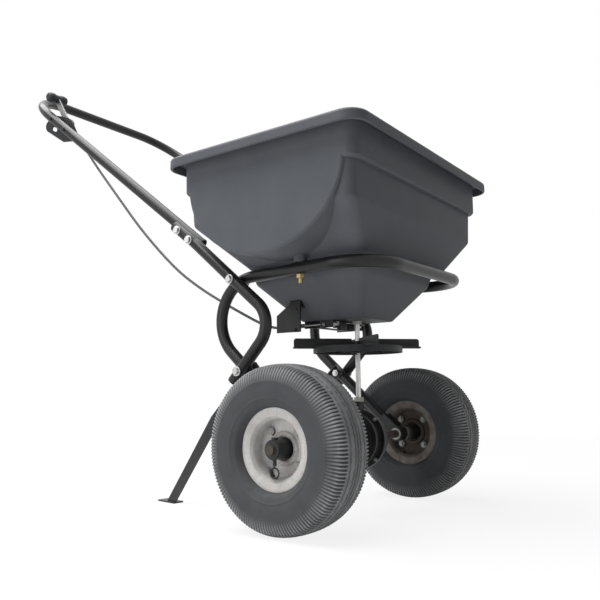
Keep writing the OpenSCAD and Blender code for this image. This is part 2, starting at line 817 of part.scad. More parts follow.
cone_tilt = atan2(ring_z - tube_r - floor_z, cone_half - floor_half);
bracket_y = [62, 86];
wing_y = 118;
bracket_x = wire_x + end_tube_r;
screw_head = [8.5, 3];
// Distance of the bracket screws up the skin, so that their heads clear the upright plate
bracket_screw_up = (bracket_x - floor_half - 2 * screw_head[1] * sin(cone_tilt)) / cos(cone_tilt)
  - screw_head[0] / 2 - 1;
clamp_y = [68, 80];
clamp_screw = [74, wire_z - 7];

// Origin on the lower cone of the hopper at its left side, local Z pointing out of the skin
module on_cone_side(up) {
  translate([-floor_half, 0, floor_z]) rotate([0, cone_tilt + 180, 0]) translate([up, 0, 0])
    children();
}

module bracket_screw_places() {
  for (y = [68, 80]) on_cone_side(bracket_screw_up) translate([0, y, 0]) children();
}

// Profile of the bent bracket seen from the front, bottom of the plate first
module cable_bracket() {
  t = 3;
  low = wire_z - 11;
  c = cos(cone_tilt);
  n = sin(cone_tilt);
  foot_up = bracket_screw_up - 6;
  foot_in = [-floor_half - foot_up * c, floor_z + foot_up * n];
  bend_up = (bracket_x - floor_half) / c;
  bend = [-bracket_x, floor_z + bend_up * n];
  foot_low = foot_in + t * [-n, -c];
  corner_up = (bracket_x - floor_half - t * n) / c;
  inner = [-bracket_x, floor_z + corner_up * n - t * c];
  difference() {
    union() {
      translate([0, bracket_y[1], 0]) rotate([90, 0, 0]) linear_extrude(height = bracket_y[1] - bracket_y[0])
        polygon([foot_in, bend, [-bracket_x - t, bend[1] - 2], [-bracket_x - t, low],
          [-bracket_x, low], inner, foot_low]);
      translate([-bracket_x - t, 0, 0]) rotate([90, 0, 90]) linear_extrude(height = t)
        polygon([[bracket_y[1] - 8, low], [wing_y, low], [wing_y, floor_z + 10],
          [bracket_y[1], bend[1] - 6], [bracket_y[1] - 8, bend[1] - 6]]);
    }
    bracket_screw_places() cylinder(d = 5.2, h = 30, center = true);
    translate([0, clamp_screw[0], clamp_screw[1]]) rod_x(1.6, -120, 40);
  }
}

module cable_clamp() {
  difference() {
    translate([-wire_x, clamp_y[0], wire_z]) rotate([-90, 0, 0]) union() {
      cylinder(r = end_tube_r + 2, h = clamp_y[1] - clamp_y[0]);
      translate([-end_tube_r, -2, 0]) cube([4, 13, clamp_y[1] - clamp_y[0]]);
    }
    translate([-wire_x, 0, wire_z]) rotate([-90, 0, 0]) cylinder(r = end_tube_r, h = 200);
    translate([-bracket_x - 10, 0, wire_z - 30]) cube([10, 200, 60]);
    translate([-bracket_x - 1, 0, wire_z - 2.6]) cube([3, 200, 5.2]);
    translate([0, clamp_screw[0], clamp_screw[1]]) rod_x(1.6, -120, 40);
  }
  translate([0, clamp_screw[0], clamp_screw[1]]) {
    rod_x(1.6, -bracket_x - 7, 13);
    rod_x(3.2, -bracket_x - 5.5, 2.5);
  }
  bracket_screws();
}

module bracket_screws() {
  bracket_screw_places() {
    translate([0, 0, -wall - 5]) cylinder(d = 5, h = wall + 10);
    translate([0, 0, 3]) cylinder(d = screw_head[0], h = screw_head[1]);
  }
}

// Frame tube
flare_a = 9;
flare_r = 120;
flare_end_y = loop_c[0] - 2 - flare_r * sin(flare_a);
ring_front = -150;
corner_y = ring_front + corner_r;
side_run = (flare_end_y - corner_y - corner_r * sin(flare_a)) / cos(flare_a);
flare_end_x = loop_x / 2 + flare_r * (1 - cos(flare_a));
corner_x = flare_end_x + side_run * sin(flare_a) - corner_r * cos(flare_a);

tube_in = tube_r - tube_wall;

// Straight pipe; a and b run it on into the bend at each end
module pipe(l, a = 1, b = 1) {
  translate([0, 0, -a]) difference() {
    cylinder(r = tube_r, h = l + a + b);
    translate([0, 0, -1]) cylinder(r = tube_in, h = l + a + b + 2);
  }
}

module bent_pipe(bend, from, turn) {
  rotate([0, 0, from]) rotate_extrude(angle = turn) translate([bend, 0]) difference() {
    circle(r = tube_r - 0.05);
    circle(r = tube_in + 0.05);
  }
}

// Right half of the frame tube from the front straight back and down to the axle
module frame_half() {
  translate([corner_x, corner_y, ring_z]) bent_pipe(corner_r, -90, 90 + flare_a);
  translate([flare_end_x, flare_end_y, ring_z]) rotate([90, 0, flare_a]) pipe(side_run);
  translate([loop_x / 2 + flare_r, loop_c[0] - 2, ring_z]) bent_pipe(flare_r, 180, flare_a);
  translate([loop_x / 2, loop_c[0], ring_z]) rotate([90, 0, 0]) pipe(2);
  translate([loop_x / 2, loop_c[0], loop_c[1]]) rotate([90, 0, 90])
    bent_pipe(loop_r, loop_slope - 90, 180 - loop_slope);
  translate([loop_x / 2, 0, axle_z]) rotate([loop_slope, 0, 0]) rotate([-90, 0, 0])
    translate([0, 0, housing_r - 4]) pipe(loop_run - housing_r + 4, 0, 1);
}

module frame_tube() {
  difference() {
    union() {
      translate([0, ring_front, ring_z]) rotate([0, 90, 0]) translate([0, 0, -corner_x]) pipe(2 * corner_x);
      both_sides() frame_half();
    }
    both_sides() on_axle() rod_x(housing_r, 50, 250);
    both_sides() on_axle() for (x = [bearing_x - bearing_l / 2, bearing_x + bearing_l / 2 - 2])
      translate([x, 0, 0]) rotate([loop_slope, 0, 0]) translate([0, 0, -13]) cube([2, 48, 26]);
    both_sides() for (y = hopper_bolt_y)
      translate([ring_x(y), y, 400]) cylinder(d = frame_bolt_d + 0.1, h = 100);
    for (p = [cross_low, cross_top])
      translate([0, p[0], p[1]]) rod_x(frame_bolt_d / 2 + 0.05, -250, 500);
  }
}

// Lower handle tubes
low_end = 26;
top_s = 62;
bend_s = -(tube_d + touch) * tan(handle_flare / 2);
set_r = 60;

// Local frame of a handle leg: Y runs up the leg, X points inward, Z is normal to the handle
module leg_frame(s) {
  translate([-loop_x / 2, handle_y(0), handle_z(0)]) rotate([handle_slope, 0, 0])
    rotate([0, 0, handle_flare]) translate([0, s, 0]) children();
}

module lower_tube() {
  run_up = (join_y - lower_c[0] + lower_bend_r * sin(handle_slope)) / cos(handle_slope);
  set_t = set_r * tan(handle_flare / 2);
  drop = (cross_low[0] - low_a[0]) / cos(lower_dir) + low_end;
  translate([lower_x, low_a[0], low_a[1]]) rotate([-lower_dir, 0, 0]) rotate([-90, 0, 0]) pipe(drop, 1, 0);
  translate([lower_x, lower_c[0], lower_c[1]]) rotate([90, 0, 90])
    bent_pipe(lower_bend_r, 90 + handle_slope, 180 - handle_slope - lower_dir);
  translate([lower_x, handle_y(0), handle_z(0)]) rotate([handle_slope, 0, 0]) {
    translate([0, -run_up, 0]) rotate([-90, 0, 0]) pipe(run_up + bend_s - set_t);
    translate([set_r, bend_s - set_t, 0]) bent_pipe(set_r, 180 - handle_flare, handle_flare);
    translate([0, bend_s, 0]) rotate([0, 0, -handle_flare]) translate([0, set_t, 0])
      rotate([-90, 0, 0]) pipe(top_s - bend_s - set_t, 1, 0);
  }
}

module lower_handle() {
  difference() {
    lower_tube();
    for (p = [cross_low, cross_top])
      translate([0, p[0], p[1]]) rod_x(frame_bolt_d / 2 + 0.05, 100, 150);
    mirror([1, 0, 0]) joint_bolt_places() rod_x(frame_bolt_d / 2 + 0.05, -60, 90);
  }
}

// Upper handle
vertex_x = loop_x / 2 + handle_run * tan(handle_flare);
corner_t = handle_r * tan((90 + handle_flare) / 2);
leg_l = handle_run / cos(handle_flare) - corner_t;
joint_bolts = [12, 48];

module joint_bolt_places() {
  for (s = joint_bolts) leg_frame(s) children();
}

module handle_half() {
  translate([vertex_x - corner_t, handle_run - handle_r, 0])
    bent_pipe(handle_r, -handle_flare, 90 + handle_flare);
  translate([loop_x / 2, 0, 0]) rotate([0, 0, -handle_flare]) rotate([-90, 0, 0]) pipe(leg_l, 0, 1);
}

module upper_handle() {
  difference() {
    translate([0, handle_y(0), handle_z(0)]) rotate([handle_slope, 0, 0]) {
      translate([0, handle_run, 0]) rotate([0, 90, 0])
        translate([0, 0, corner_t - vertex_x]) pipe(2 * (vertex_x - corner_t));
      both_sides() handle_half();
    }
    both_sides() joint_bolt_places() rod_x(frame_bolt_d / 2 + 0.05, -60, 90);
    for (s = bracket_bolts) leg_frame(s) rod_x(2.55, -30, 60);
  }
}

// Bolt along +X through parts from x0 to x1, dome head first
module frame_bolt(x0, x1) {
  rod_x(frame_bolt_d / 2, x0, x1 - x0 + 9);
  rod_x(9, x0 - 1.6, 1.6);
  difference() {
    translate([x0 - 1.6, 0, 0]) sphere(r = 7);
    rod_x(20, x0 - 1.6, 30);
    rod_x(20, x0 - 30, 24);
  }
  translate([x1, 0, 0]) rotate([0, 90, 0]) hex(13, 6.5);
}

module handle_bolts() {
  both_sides() joint_bolt_places() frame_bolt(-tube_d - touch - tube_r, tube_r);
}

module crossing_bolts() {
  both_sides() {
    translate([0, cross_top[0], cross_top[1]]) frame_bolt(-lower_x - tube_r, -loop_x / 2 + tube_r);
    translate([0, cross_low[0], cross_low[1]]) frame_bolt(-lower_x - tube_r, -loop_x / 2 + tube_r + leg_t);
  }
}

// Stand legs
leg_top = [cross_low[0] - 9, cross_low[1] + 9];
leg_knee = [252, 171];
leg_foot = [foot_rear - 28, 0];
set_y = cross_low[0] + 26;
toe_in = 7.5;

module strip(w0, w1) {
  n1 = (leg_knee - leg_top) / norm(leg_knee - leg_top);
  n2 = (leg_foot - leg_knee) / norm(leg_foot - leg_knee);
  nm = (n1 + n2) / norm(n1 + n2);
  p = function(q, d, w) q + w * [-d[1], d[0]];
  polygon([
    p(leg_top, n1, w0), p(leg_knee, nm, w0), p(leg_foot, n2, w0 * 0.9) + [0, -12],
    p(leg_foot, n2, w1 * 0.9) + [0, -12], p(leg_knee, nm, w1), p(leg_top, n1, w1)
  ]);
}

module strip_at(w0, w1, x, t) {
  translate([x, 0, 0]) rotate([90, 0, 90]) linear_extrude(height = t) strip(w0, w1);
}

// Angle section of the leg: a web with one long edge turned inward
module leg_section() {
  flange = 7;
  difference() {
    strip_at(-leg_w / 2, leg_w / 2, -flange, flange + leg_t);
    strip_at(-leg_w, leg_w / 2 - leg_t, -flange - 5, flange + 5);
  }
}

// Right stand leg, web against the inner side of the loop tube
module stand_leg() {
  web_x = loop_x / 2 - tube_r - leg_t;
  difference() {
    translate([web_x, set_y, 0]) union() {
      intersection() {
        translate([0, -set_y, 0]) leg_section();
        translate([-50, -300, 0]) cube([100, 301.1, 400]);
      }
      rotate([0, 0, toe_in]) {
        intersection() {
          translate([0, -set_y, 0]) leg_section();
          translate([-50, -1.6, 0]) cube([100, 400, 400]);
        }
        translate([-leg_w / 2 - 4, foot_rear - 56 - set_y, 0]) cube([leg_w, 56, leg_t]);
      }
    }
    translate([0, cross_low[0], cross_low[1]]) rod_x(frame_bolt_d / 2 + 0.05, 50, 200);
  }
}

// Flow control on the left handle leg
lever_s = 512;
lever_c = 6;
lever_in = 15;
lever_t = 4;
sheave_r = gate_travel / (lever_swing * PI / 180);
bracket_t = 2.5;
bracket_bolts = [lever_s - 20, lever_s + 34];
anchor_s = [470, 486];
wire_c = lever_c - sheave_r;
wire_in = lever_in + lever_t / 2;
ferrule_r = wire_in - tube_r - bracket_t;

module control_bracket() {
  leg_frame(0) difference() {
    union() {
      translate([tube_r, 0, 0]) rotate([90, 0, 90]) linear_extrude(height = bracket_t) difference() {
        union() {
          polygon([[474, 8], [474, -16], [500, -32], [562, -38], [578, -20], [563, -8], [558, 8], [520, 22], [500, 20]]);
          translate([564, -24]) circle(r = 14);
          translate([lever_s, lever_c]) circle(r = 15);
        }
        for (s = bracket_bolts) translate([s, 0]) circle(r = 2.6);
        translate([lever_s, lever_c]) circle(r = 4.05);
        translate([540, -21]) circle(r = 4.5);
        translate([549, -23]) circle(r = 4.5);
        translate([540, -25.5]) rotate(-12) square([9.2, 9]);
      }
      translate([wire_in, anchor_s[0], wire_c]) rotate([-90, 0, 0])
        cylinder(r = ferrule_r + 2, h = anchor_s[1] - anchor_s[0]);
    }
    translate([wire_in, anchor_s[0] - 10, wire_c]) rotate([-90, 0, 0]) cylinder(r = ferrule_r, h = 40);
    translate([0, 440, -60]) cube([tube_r, 200, 120]);
  }
  for (s = bracket_bolts) leg_frame(s) {
    rod_x(2.5, -tube_r - 4, tube_d + bracket_t + 4);
    translate([-tube_r - 4, 0, 0]) rotate([0, 90, 0]) hex(8, 4);
    rod_x(4, tube_r + bracket_t, 0.7);
  }
}

module flow_lever() {
  leg_frame(0) difference() {
    translate([lever_in, 0, 0]) rotate([90, 0, 90]) {
      difference() {
        union() {
          translate([lever_s, lever_c]) {
            cylinder(r = sheave_r + 1.6, h = 0.9);
            translate([0, 0, 0.9]) cylinder(r = sheave_r - wire_d / 2 - 0.3, h = lever_t - 1.8);
            translate([0, 0, lever_t - 0.9]) cylinder(r = sheave_r + 1.6, h = 0.9);
          }
          translate([lever_s, lever_c, 0]) rotate([0, 0, lever_rest]) translate([8, -7, 0])
            cube([lever_l - 8, 14, lever_t]);
        }
        translate([lever_s, lever_c, -1]) cylinder(r = 4.05, h = 20);
      }
    }
  }
}

module lever_grip() {
  c = [lever_s + lever_l * cos(lever_rest), lever_c + lever_l * sin(lever_rest)];
  leg_frame(0) difference() {
    translate([wire_in - 26, c[0], c[1]]) rotate([0, 90, 0]) rotate_extrude()
      polygon([[0, 0], [7, 0], [10.4, 3], [11.5, 8], [11.5, 15], [10, 20], [9.4, 26],
        [10, 32], [11.5, 37], [11.5, 44], [10.4, 49], [7, 52], [0, 52]]);
    translate([lever_in, lever_s, lever_c]) rotate([lever_rest, 0, 0]) translate([0, 8, -7])
      cube([lever_t, lever_l - 8, 14]);
  }
}

module lever_pivot() {
  leg_frame(0) translate([0, lever_s, lever_c]) {
    rod_x(4, tube_r + touch, lever_in + lever_t + 6 - tube_r - touch);
    difference() {
      rod_x(7, tube_r + bracket_t, lever_in - tube_r - bracket_t - 0.15);
      rod_x(4, 0, 40);
    }
    translate([lever_in + lever_t + 0.15, 0, 0]) rotate([0, 90, 0]) hex(12, 5);
  }
}

// Straight wire between the anchored sheath end and the lever's grooved end
module cable_wire() {
  leg_frame(0) translate([wire_in, anchor_s[0], wire_c]) rotate([-90, 0, 0]) {
    cylinder(d = wire_d, h = lever_s - anchor_s[0]);
    difference() {
      cylinder(r = ferrule_r, h = anchor_s[1] - anchor_s[0] + 2);
      cylinder(d = wire_d, h = 60);
    }
  }
}

// Control cable
function leg_point(a, s, c) = let (f = handle_flare, t = handle_slope,
  p = [a * cos(f) - s * sin(f), a * sin(f) + s * cos(f)])
  [-loop_x / 2 + p[0], handle_y(0) + p[1] * cos(t) - c * sin(t), handle_z(0) + p[1] * sin(t) + c * cos(t)];

cable_start = leg_point(wire_in, anchor_s[0] - touch, wire_c);
cable_lead = leg_point(wire_in, anchor_s[0] - 25, wire_c);
cable_route = [
  cable_start, cable_lead, [-197, 552, 726], [-188, 488, 648], [-176, 434, 580],
  [-163, 384, 523], [-149, 338, 476], [-136, 292, 440], [-126, 248, 412],
  [-115, 200, 384], [-104, 158, 361], [-wire_x, 130, wire_z + 1], [-wire_x, end_tube_y[1], wire_z]
];

function spline(p, i, t) = let (a = p[max(i - 1, 0)], b = p[i], c = p[i + 1], d = p[min(i + 2, len(p) - 1)])
  0.5 * (2 * b + (c - a) * t + (2 * a - 5 * b + 4 * c - d) * t * t + (3 * b - a - 3 * c + d) * t * t * t);

function cable_points(p, k) = concat(
  [for (i = [0 : len(p) - 2]) for (j = [0 : k - 1]) spline(p, i, j / k)], [p[len(p) - 1]]);

function unit(v) = v / norm(v);

module swept(path, r, n) {
  m = len(path);
  pts = [for (i = [0 : m - 1]) let (
    d = unit(path[min(i + 1, m - 1)] - path[max(i - 1, 0)]),
    u = unit(cross(d, [1, 0, 0])), v = cross(d, u))
    for (j = [0 : n - 1]) path[i] + r * (cos(360 * j / n) * u + sin(360 * j / n) * v)];
  sides = [for (i = [0 : m - 2]) for (j = [0 : n - 1]) let (q = (j + 1) % n) each
    [[i * n + j, (i + 1) * n + q, (i + 1) * n + j], [i * n + j, i * n + q, (i + 1) * n + q]]];
  polyhedron(points = pts, faces = concat(sides, [[for (j = [n - 1 : -1 : 0]) j]],
    [[for (j = [0 : n - 1]) (m - 1) * n + j]]), convexity = 10);
}

module control_cable() {
  swept(cable_points(cable_route, 5), cable_d / 2, 8);
}

color(tyre_black) placed() at_wheel(-1) tyre();  // tyre_left
color(tyre_black) placed() at_wheel(1) tyre();  // tyre_right
color(tyre_black) placed() at_wheel(-1) inner_tube();  // inner_tube_left
color(tyre_black) placed() at_wheel(1) inner_tube();  // inner_tube_right
color(rim_grey) placed() at_wheel(-1) rim_half();  // rim_outer_left
color(rim_grey) placed() at_wheel(1) rim_half();  // rim_outer_right
color(rim_grey) placed() at_wheel(-1) mirrored(-1) rim_half();  // rim_inner_left
color(rim_grey) placed() at_wheel(1) mirrored(-1) rim_half();  // rim_inner_right
color(tube_black) placed() at_wheel(-1) hub();  // hub_left
color(tube_black) placed() at_wheel(1) hub();  // hub_right
color(nylon) placed() at_wheel(-1) hub_bushes();  // hub_bushes_left
color(nylon) placed() at_wheel(1) hub_bushes();  // hub_bushes_right
color(zinc) placed() at_wheel(-1) rim_bolts();  // rim_bolts_left
color(zinc) placed() at_wheel(1) rim_bolts();  // rim_bolts_right
color(tyre_black) placed() at_wheel(-1) valve();  // valve_left
color(tyre_black) placed() at_wheel(1) valve();  // valve_right
color(zinc) placed() axle();
color(tube_black) placed() drive_pin();
color(zinc) placed() wheel_cotter();
color(zinc) placed() end_washers();
color(zinc) placed() axle_spacers();
color(nylon) placed() axle_bearings();
color(tube_black) placed() axle_brackets();
color(tube_black) placed() mirrored(-1) case_half(case_out[0]);  // gear_case_left
color(tube_black) placed() case_half(case_out[1]);  // gear_case_right
color(zinc) placed() case_screws();
color(zinc) placed() drive_gear();
color(zinc) placed() gear_pin();
color(zinc) placed() pinion();
color(zinc) placed() pinion_pin();
color(zinc) placed() impeller_shaft();
color(moulded) placed() impeller();
color(tube_black) placed() impeller_pin();
color(zinc) placed() agitator();
color(nylon) placed() shaft_bush_lower();
color(nylon) placed() shaft_bush_upper();
color(hopper_black) placed() hopper();
color(brass_zinc) placed() hopper_bolts();
color(zinc) placed() gate_plate();
color(tube_black) placed() gate_guides();
color(zinc) placed() gate_screws();
color(zinc) placed() gate_rod();
color(tube_black) placed() cable_bracket();
color(tube_black) placed() cable_clamp();
color(sheath_grey) placed() cable_end_tube();
color(sheath_grey) placed() control_cable();
color(zinc) placed() cable_wire();
color(tube_black) placed() frame_tube();
color(tube_black) placed() mirrored(-1) lower_handle();  // lower_handle_left
color(tube_black) placed() lower_handle();  // lower_handle_right
color(tube_black) placed() upper_handle();
color(zinc) placed() handle_bolts();
color(zinc) placed() crossing_bolts();
color(tube_black) placed() mirrored(-1) stand_leg();  // stand_leg_left
color(tube_black) placed() stand_leg();  // stand_leg_right
color(moulded) placed() control_bracket();
color(zinc) placed() flow_lever();
color(moulded) placed() lever_grip();
color(zinc) placed() lever_pivot();
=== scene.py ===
# %% [markdown]
# # A walk-behind broadcast spreader
# The exact solids come from the construction model, which is loaded here as a fixed frame. This script
# gives them their finishes, and builds finer pieces where the real object is softer or richer than a
# plain solid: the moulded hopper, the tyres with their tread, and the hanging control cable.

# %% Load the frame
import json
import math

import bmesh
import bpy
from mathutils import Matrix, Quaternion, Vector


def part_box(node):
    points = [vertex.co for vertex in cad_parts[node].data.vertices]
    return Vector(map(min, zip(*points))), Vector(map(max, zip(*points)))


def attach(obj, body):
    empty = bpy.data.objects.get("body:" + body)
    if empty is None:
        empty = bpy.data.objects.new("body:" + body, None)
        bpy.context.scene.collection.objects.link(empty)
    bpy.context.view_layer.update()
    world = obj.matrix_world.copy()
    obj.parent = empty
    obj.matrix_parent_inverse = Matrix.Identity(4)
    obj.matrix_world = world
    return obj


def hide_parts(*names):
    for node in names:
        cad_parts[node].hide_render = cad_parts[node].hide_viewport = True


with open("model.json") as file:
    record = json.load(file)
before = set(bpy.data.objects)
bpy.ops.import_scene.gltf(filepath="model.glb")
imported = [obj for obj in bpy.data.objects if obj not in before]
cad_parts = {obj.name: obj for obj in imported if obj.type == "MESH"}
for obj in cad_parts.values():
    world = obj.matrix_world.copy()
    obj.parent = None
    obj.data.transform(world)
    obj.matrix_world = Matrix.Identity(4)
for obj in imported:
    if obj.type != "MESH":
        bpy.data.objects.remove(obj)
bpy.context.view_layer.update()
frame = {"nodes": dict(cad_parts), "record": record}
scene = bpy.context.scene
axle_low, axle_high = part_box("axle")
AXLE_Y = (axle_low.y + axle_high.y) / 2
AXLE_Z = (axle_low.z + axle_high.z) / 2
print("axle at y", round(AXLE_Y, 4), "and z", round(AXLE_Z, 4))


def spot(x, y, z):
    """A point given in millimetres from the axle line and the ground, in metres."""
    return Vector((x / 1000, AXLE_Y + y / 1000, z / 1000))


# %% [markdown]
# ## Camera
# The photograph was taken from low down in front of the left wheel, looking slightly up. The camera is
# placed by its heading from +Y towards +X, its pitch and a small roll, so each can be read off and changed
# on its own. The alternative, a Track To constraint, hides those three numbers in the position of a target.

# %% Camera
HEADING, PITCH, ROLL = (math.radians(a) for a in (53.82, 7.292, -0.5533))
CAMERA_PLACE = (-1.1198, -0.9969, 0.2377)
camera = bpy.data.objects.new("camera", bpy.data.cameras.new("camera"))
scene.collection.objects.link(camera)
look = Vector((math.sin(HEADING) * math.cos(PITCH), math.cos(HEADING) * math.cos(PITCH), math.sin(PITCH)))
camera.location = CAMERA_PLACE
camera.rotation_mode = "QUATERNION"
camera.rotation_quaternion = look.to_track_quat("-Z", "Y") @ Quaternion((0, 0, 1), ROLL)
camera.data.sensor_width = 36
camera.data.lens = 40.38
camera.data.clip_end = 60
scene.camera = camera
print("camera looks along", tuple(round(c, 3) for c in look))

# %% [markdown]
# ## Handle line
# The cable starts at the flow control on the left handle leg. The leg slopes up from its joint with the
# lower tube and flares outward, so a point near it is easiest to give in the leg's own directions: along
# it, across it and out of it. The joint's height follows from the bend of the lower tube.

# %% Handle line
SLOPE, FLARE = math.radians(39.5), math.radians(7.8)
LOOP_HALF = 157
LOWER_BEND_Y, LOWER_BEND_Z, LOWER_BEND_R = 133, 350, 50
JOIN_Y = 265
JOIN_Z = (LOWER_BEND_Z + LOWER_BEND_R * math.cos(SLOPE)
          + (JOIN_Y - LOWER_BEND_Y + LOWER_BEND_R * math.sin(SLOPE)) * math.tan(SLOPE))


def on_leg(inward, up, out):
    """A point in the left handle leg's own directions, in millimetres from the axle line."""
    x = inward * math.cos(FLARE) - up * math.sin(FLARE)
    y = inward * math.sin(FLARE) + up * math.cos(FLARE)
    return (-LOOP_HALF + x, JOIN_Y + y * math.cos(SLOPE) - out * math.sin(SLOPE),
            JOIN_Z + y * math.sin(SLOPE) + out * math.cos(SLOPE))


print("handle joint", JOIN_Y, "mm behind the axle and", round(JOIN_Z, 1), "mm up")

# %% [markdown]
# ## Control cable
# The sheath of the control cable leaves its holder by the flow lever, sags freely and ends in the rigid
# tube at the hopper. A cable has one smooth bend all the way, so its route is a curve: points chosen
# along the hang are joined by a spline, and the same spline is sampled into a poly curve with a round
# section. A physics hang would give much the same line, but less surely the one that was seen.

# %% Control cable
SHEATH_D = 0.0054
GATE_STROKE, LEVER_SWING = 18.3, math.radians(70)
LEVER_IN, PIVOT_OUT = 17, 6
WIRE_OUT = PIVOT_OUT - GATE_STROKE / LEVER_SWING
route = [on_leg(LEVER_IN, 469.7, WIRE_OUT), on_leg(LEVER_IN, 445, WIRE_OUT), (-197, 552, 726),
         (-188, 488, 648), (-176, 434, 580), (-163, 384, 523), (-149, 338, 476), (-136, 292, 440),
         (-126, 248, 412), (-115, 200, 384), (-104, 158, 361), (-96, 130, 351), (-96, 114, 350)]
route = [Vector(p) for p in route]


def along(points, i, t):
    """Catmull-Rom spline between points i and i + 1."""
    a, b, c = points[max(i - 1, 0)], points[i], points[i + 1]
    d = points[min(i + 2, len(points) - 1)]
    bend = (2 * a - 5 * b + 4 * c - d) * t ** 2 + (3 * b - a - 3 * c + d) * t ** 3
    return 0.5 * (2 * b + (c - a) * t + bend)


def curve_piece(name, points, radius):
    """A round curve through points given in metres. The radius sits on the points, and the bevel is one
    metre deep, so that the curve's own box is as thick as the cable and no thicker."""
    data = bpy.data.curves.new(name, "CURVE")
    data.dimensions = "3D"
    line = data.splines.new("POLY")
    line.points.add(len(points) - 1)
    for target, p in zip(line.points, points):
        target.co = (*p, 1)
        target.radius = radius
    data.bevel_depth = 1.0
    data.bevel_resolution = 5
    data.use_fill_caps = True
    piece = bpy.data.objects.new(name, data)
    scene.collection.objects.link(piece)
    return piece


cable_line = [spot(*along(route, i, t)) for i in range(len(route) - 1) for t in (0, 1 / 3, 2 / 3)]
cable_line.append(spot(*route[-1]))
cable = curve_piece("cable_sheath", cable_line, SHEATH_D / 2)
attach(cable, "frame")
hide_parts("control_cable")

# %% [markdown]
# ## Helpers for nodes
# Light and finishes are small networks of nodes. These helpers add a node with its values in one line, so
# that a material reads as a list of what it is made of. A value may be a plain number or another socket.

# %% Node helpers
FLOAT, COLOUR = "NodeSocketFloat", "NodeSocketColor"
WHITE = (1, 1, 1, 1)


def is_socket(value):
    """True for a node's socket, false for a number, a colour or a vector."""
    return hasattr(value, "is_linked")


def feed(tree, value, socket):
    """Sets a socket from another socket or from a plain value."""
    if is_socket(value):
        tree.links.new(value, socket)
    else:
        socket.default_value = value


def put(tree, kind, **values):
    """Adds a node, sets its sockets by name, and its own settings by a leading underscore."""
    node = tree.nodes.new(kind)
    for name, value in values.items():
        if name.startswith("_"):
            setattr(node, name[1:], value)
        else:
            feed(tree, value, node.inputs[name.replace("_", " ")])
    return node


def number(tree, operation, a, b=0.0):
    """A maths node between sockets or plain numbers."""
    node = put(tree, "ShaderNodeMath", _operation=operation)
    feed(tree, a, node.inputs[0])
    feed(tree, b, node.inputs[1])
    return node.outputs[0]


def ranged(tree, value, start=0.0, stop=1.0, first=0.0, last=1.0):
    """A Map Range node, which turns the stretch from start to stop into first to last."""
    node = put(tree, "ShaderNodeMapRange", Value=value, From_Min=start, From_Max=stop, To_Min=first,
               To_Max=last)
    return node.outputs["Result"]


def noise(tree, place, scale, detail, roughness):
    """The value of a noise texture at a place."""
    node = put(tree, "ShaderNodeTexNoise", Vector=place, Scale=scale, Detail=detail, Roughness=roughness)
    return node.outputs["Fac"]


def in_view(tree):
    """1 for what the camera sees, straight, mirrored or through a clear material, and 0 for other light."""
    ray = put(tree, "ShaderNodeLightPath").outputs
    mirrored = number(tree, "MAXIMUM", ray["Is Glossy Ray"], ray["Is Transmission Ray"])
    return number(tree, "MAXIMUM", ray["Is Camera Ray"], mirrored)


print("node helpers", [helper.__name__ for helper in (feed, put, number, ranged, noise, in_view)])

# %% [markdown]
# ## Light
# The part stands in an even, bright room. The world gives soft light from all round, and looks plain white
# to the camera and in reflections through the Light Path node. A large soft lamp above and a little behind
# carries most of the light, and lifts the rim, the treads and the top edges of the tubes. A low, weak one
# on the left makes the side of the hopper lighter than its front. A sun lamp would be simpler, but its
# shadows are too crisp for a room.

# %% Light
ROOM_LEVEL = 0.06
world = bpy.data.worlds.new("room")
scene.world = world
world.use_nodes = True
room = world.node_tree
room.nodes.clear()
sky = put(room, "ShaderNodeBackground", Color=WHITE, Strength=ranged(room, in_view(room), first=ROOM_LEVEL))
put(room, "ShaderNodeOutputWorld", Surface=sky.outputs[0])


def lamp(name, place, aim, size, power):
    """A square area lamp at a place, turned towards a point."""
    data = bpy.data.lights.new(name, "AREA")
    data.shape = "SQUARE"
    data.size = size
    data.energy = power
    holder = bpy.data.objects.new(name, data)
    scene.collection.objects.link(holder)
    holder.location = place
    holder.rotation_euler = (Vector(aim) - Vector(place)).to_track_quat("-Z", "Y").to_euler()


lamp("side_lamp", (-2.3, 0.35, 0.75), (0, -0.2, 0.35), size=1.5, power=13)
lamp("top_lamp", (-0.6, 0.5, 2.8), (-0.1, -0.1, 0.2), size=2.6, power=155)

# %% [markdown]
# ## Floor
# The floor is a plain pale sheet. To the camera and in reflections most of it glows, and all of it farther
# out, so that it meets the white room without a visible horizon and still takes a soft shadow under the
# wheels. A brighter lamp would whiten it too, but it would also bleach the part.

# %% Floor
GLOW_NEAR, GLOW_FAR = 0.86, 1.0
bpy.ops.mesh.primitive_plane_add(size=40, location=(0, 0, 0))
floor = bpy.context.object
floor.name = "floor"
pale = bpy.data.materials.new("pale_floor")
pale.use_nodes = True
ground = pale.node_tree
ground.nodes.clear()
matt = put(ground, "ShaderNodeBsdfDiffuse", Color=(0.92, 0.92, 0.92, 1))
glow = put(ground, "ShaderNodeEmission", Color=WHITE, Strength=1.0)
away = put(ground, "ShaderNodeVectorMath", _operation="LENGTH")
feed(ground, put(ground, "ShaderNodeTexCoord").outputs["Object"], away.inputs[0])
glowing = ranged(ground, away.outputs["Value"], 0.7, 2.2, GLOW_NEAR, GLOW_FAR)
both = put(ground, "ShaderNodeMixShader")
feed(ground, number(ground, "MULTIPLY", in_view(ground), glowing), both.inputs[0])
feed(ground, matt.outputs[0], both.inputs[1])
feed(ground, glow.outputs[0], both.inputs[2])
put(ground, "ShaderNodeOutputMaterial", Surface=both.outputs[0])
floor.data.materials.append(pale)
print("floor finish", pale.name, "with", len(ground.nodes), "nodes")

# %% [markdown]
# ## Node groups
# Grain, dust, scratches and rust appear on more than one finish. Each is made once as a node group with
# named inputs, and placed in every material with that material's own values. Copying the nodes instead
# would work too, but then a change has to be made many times.

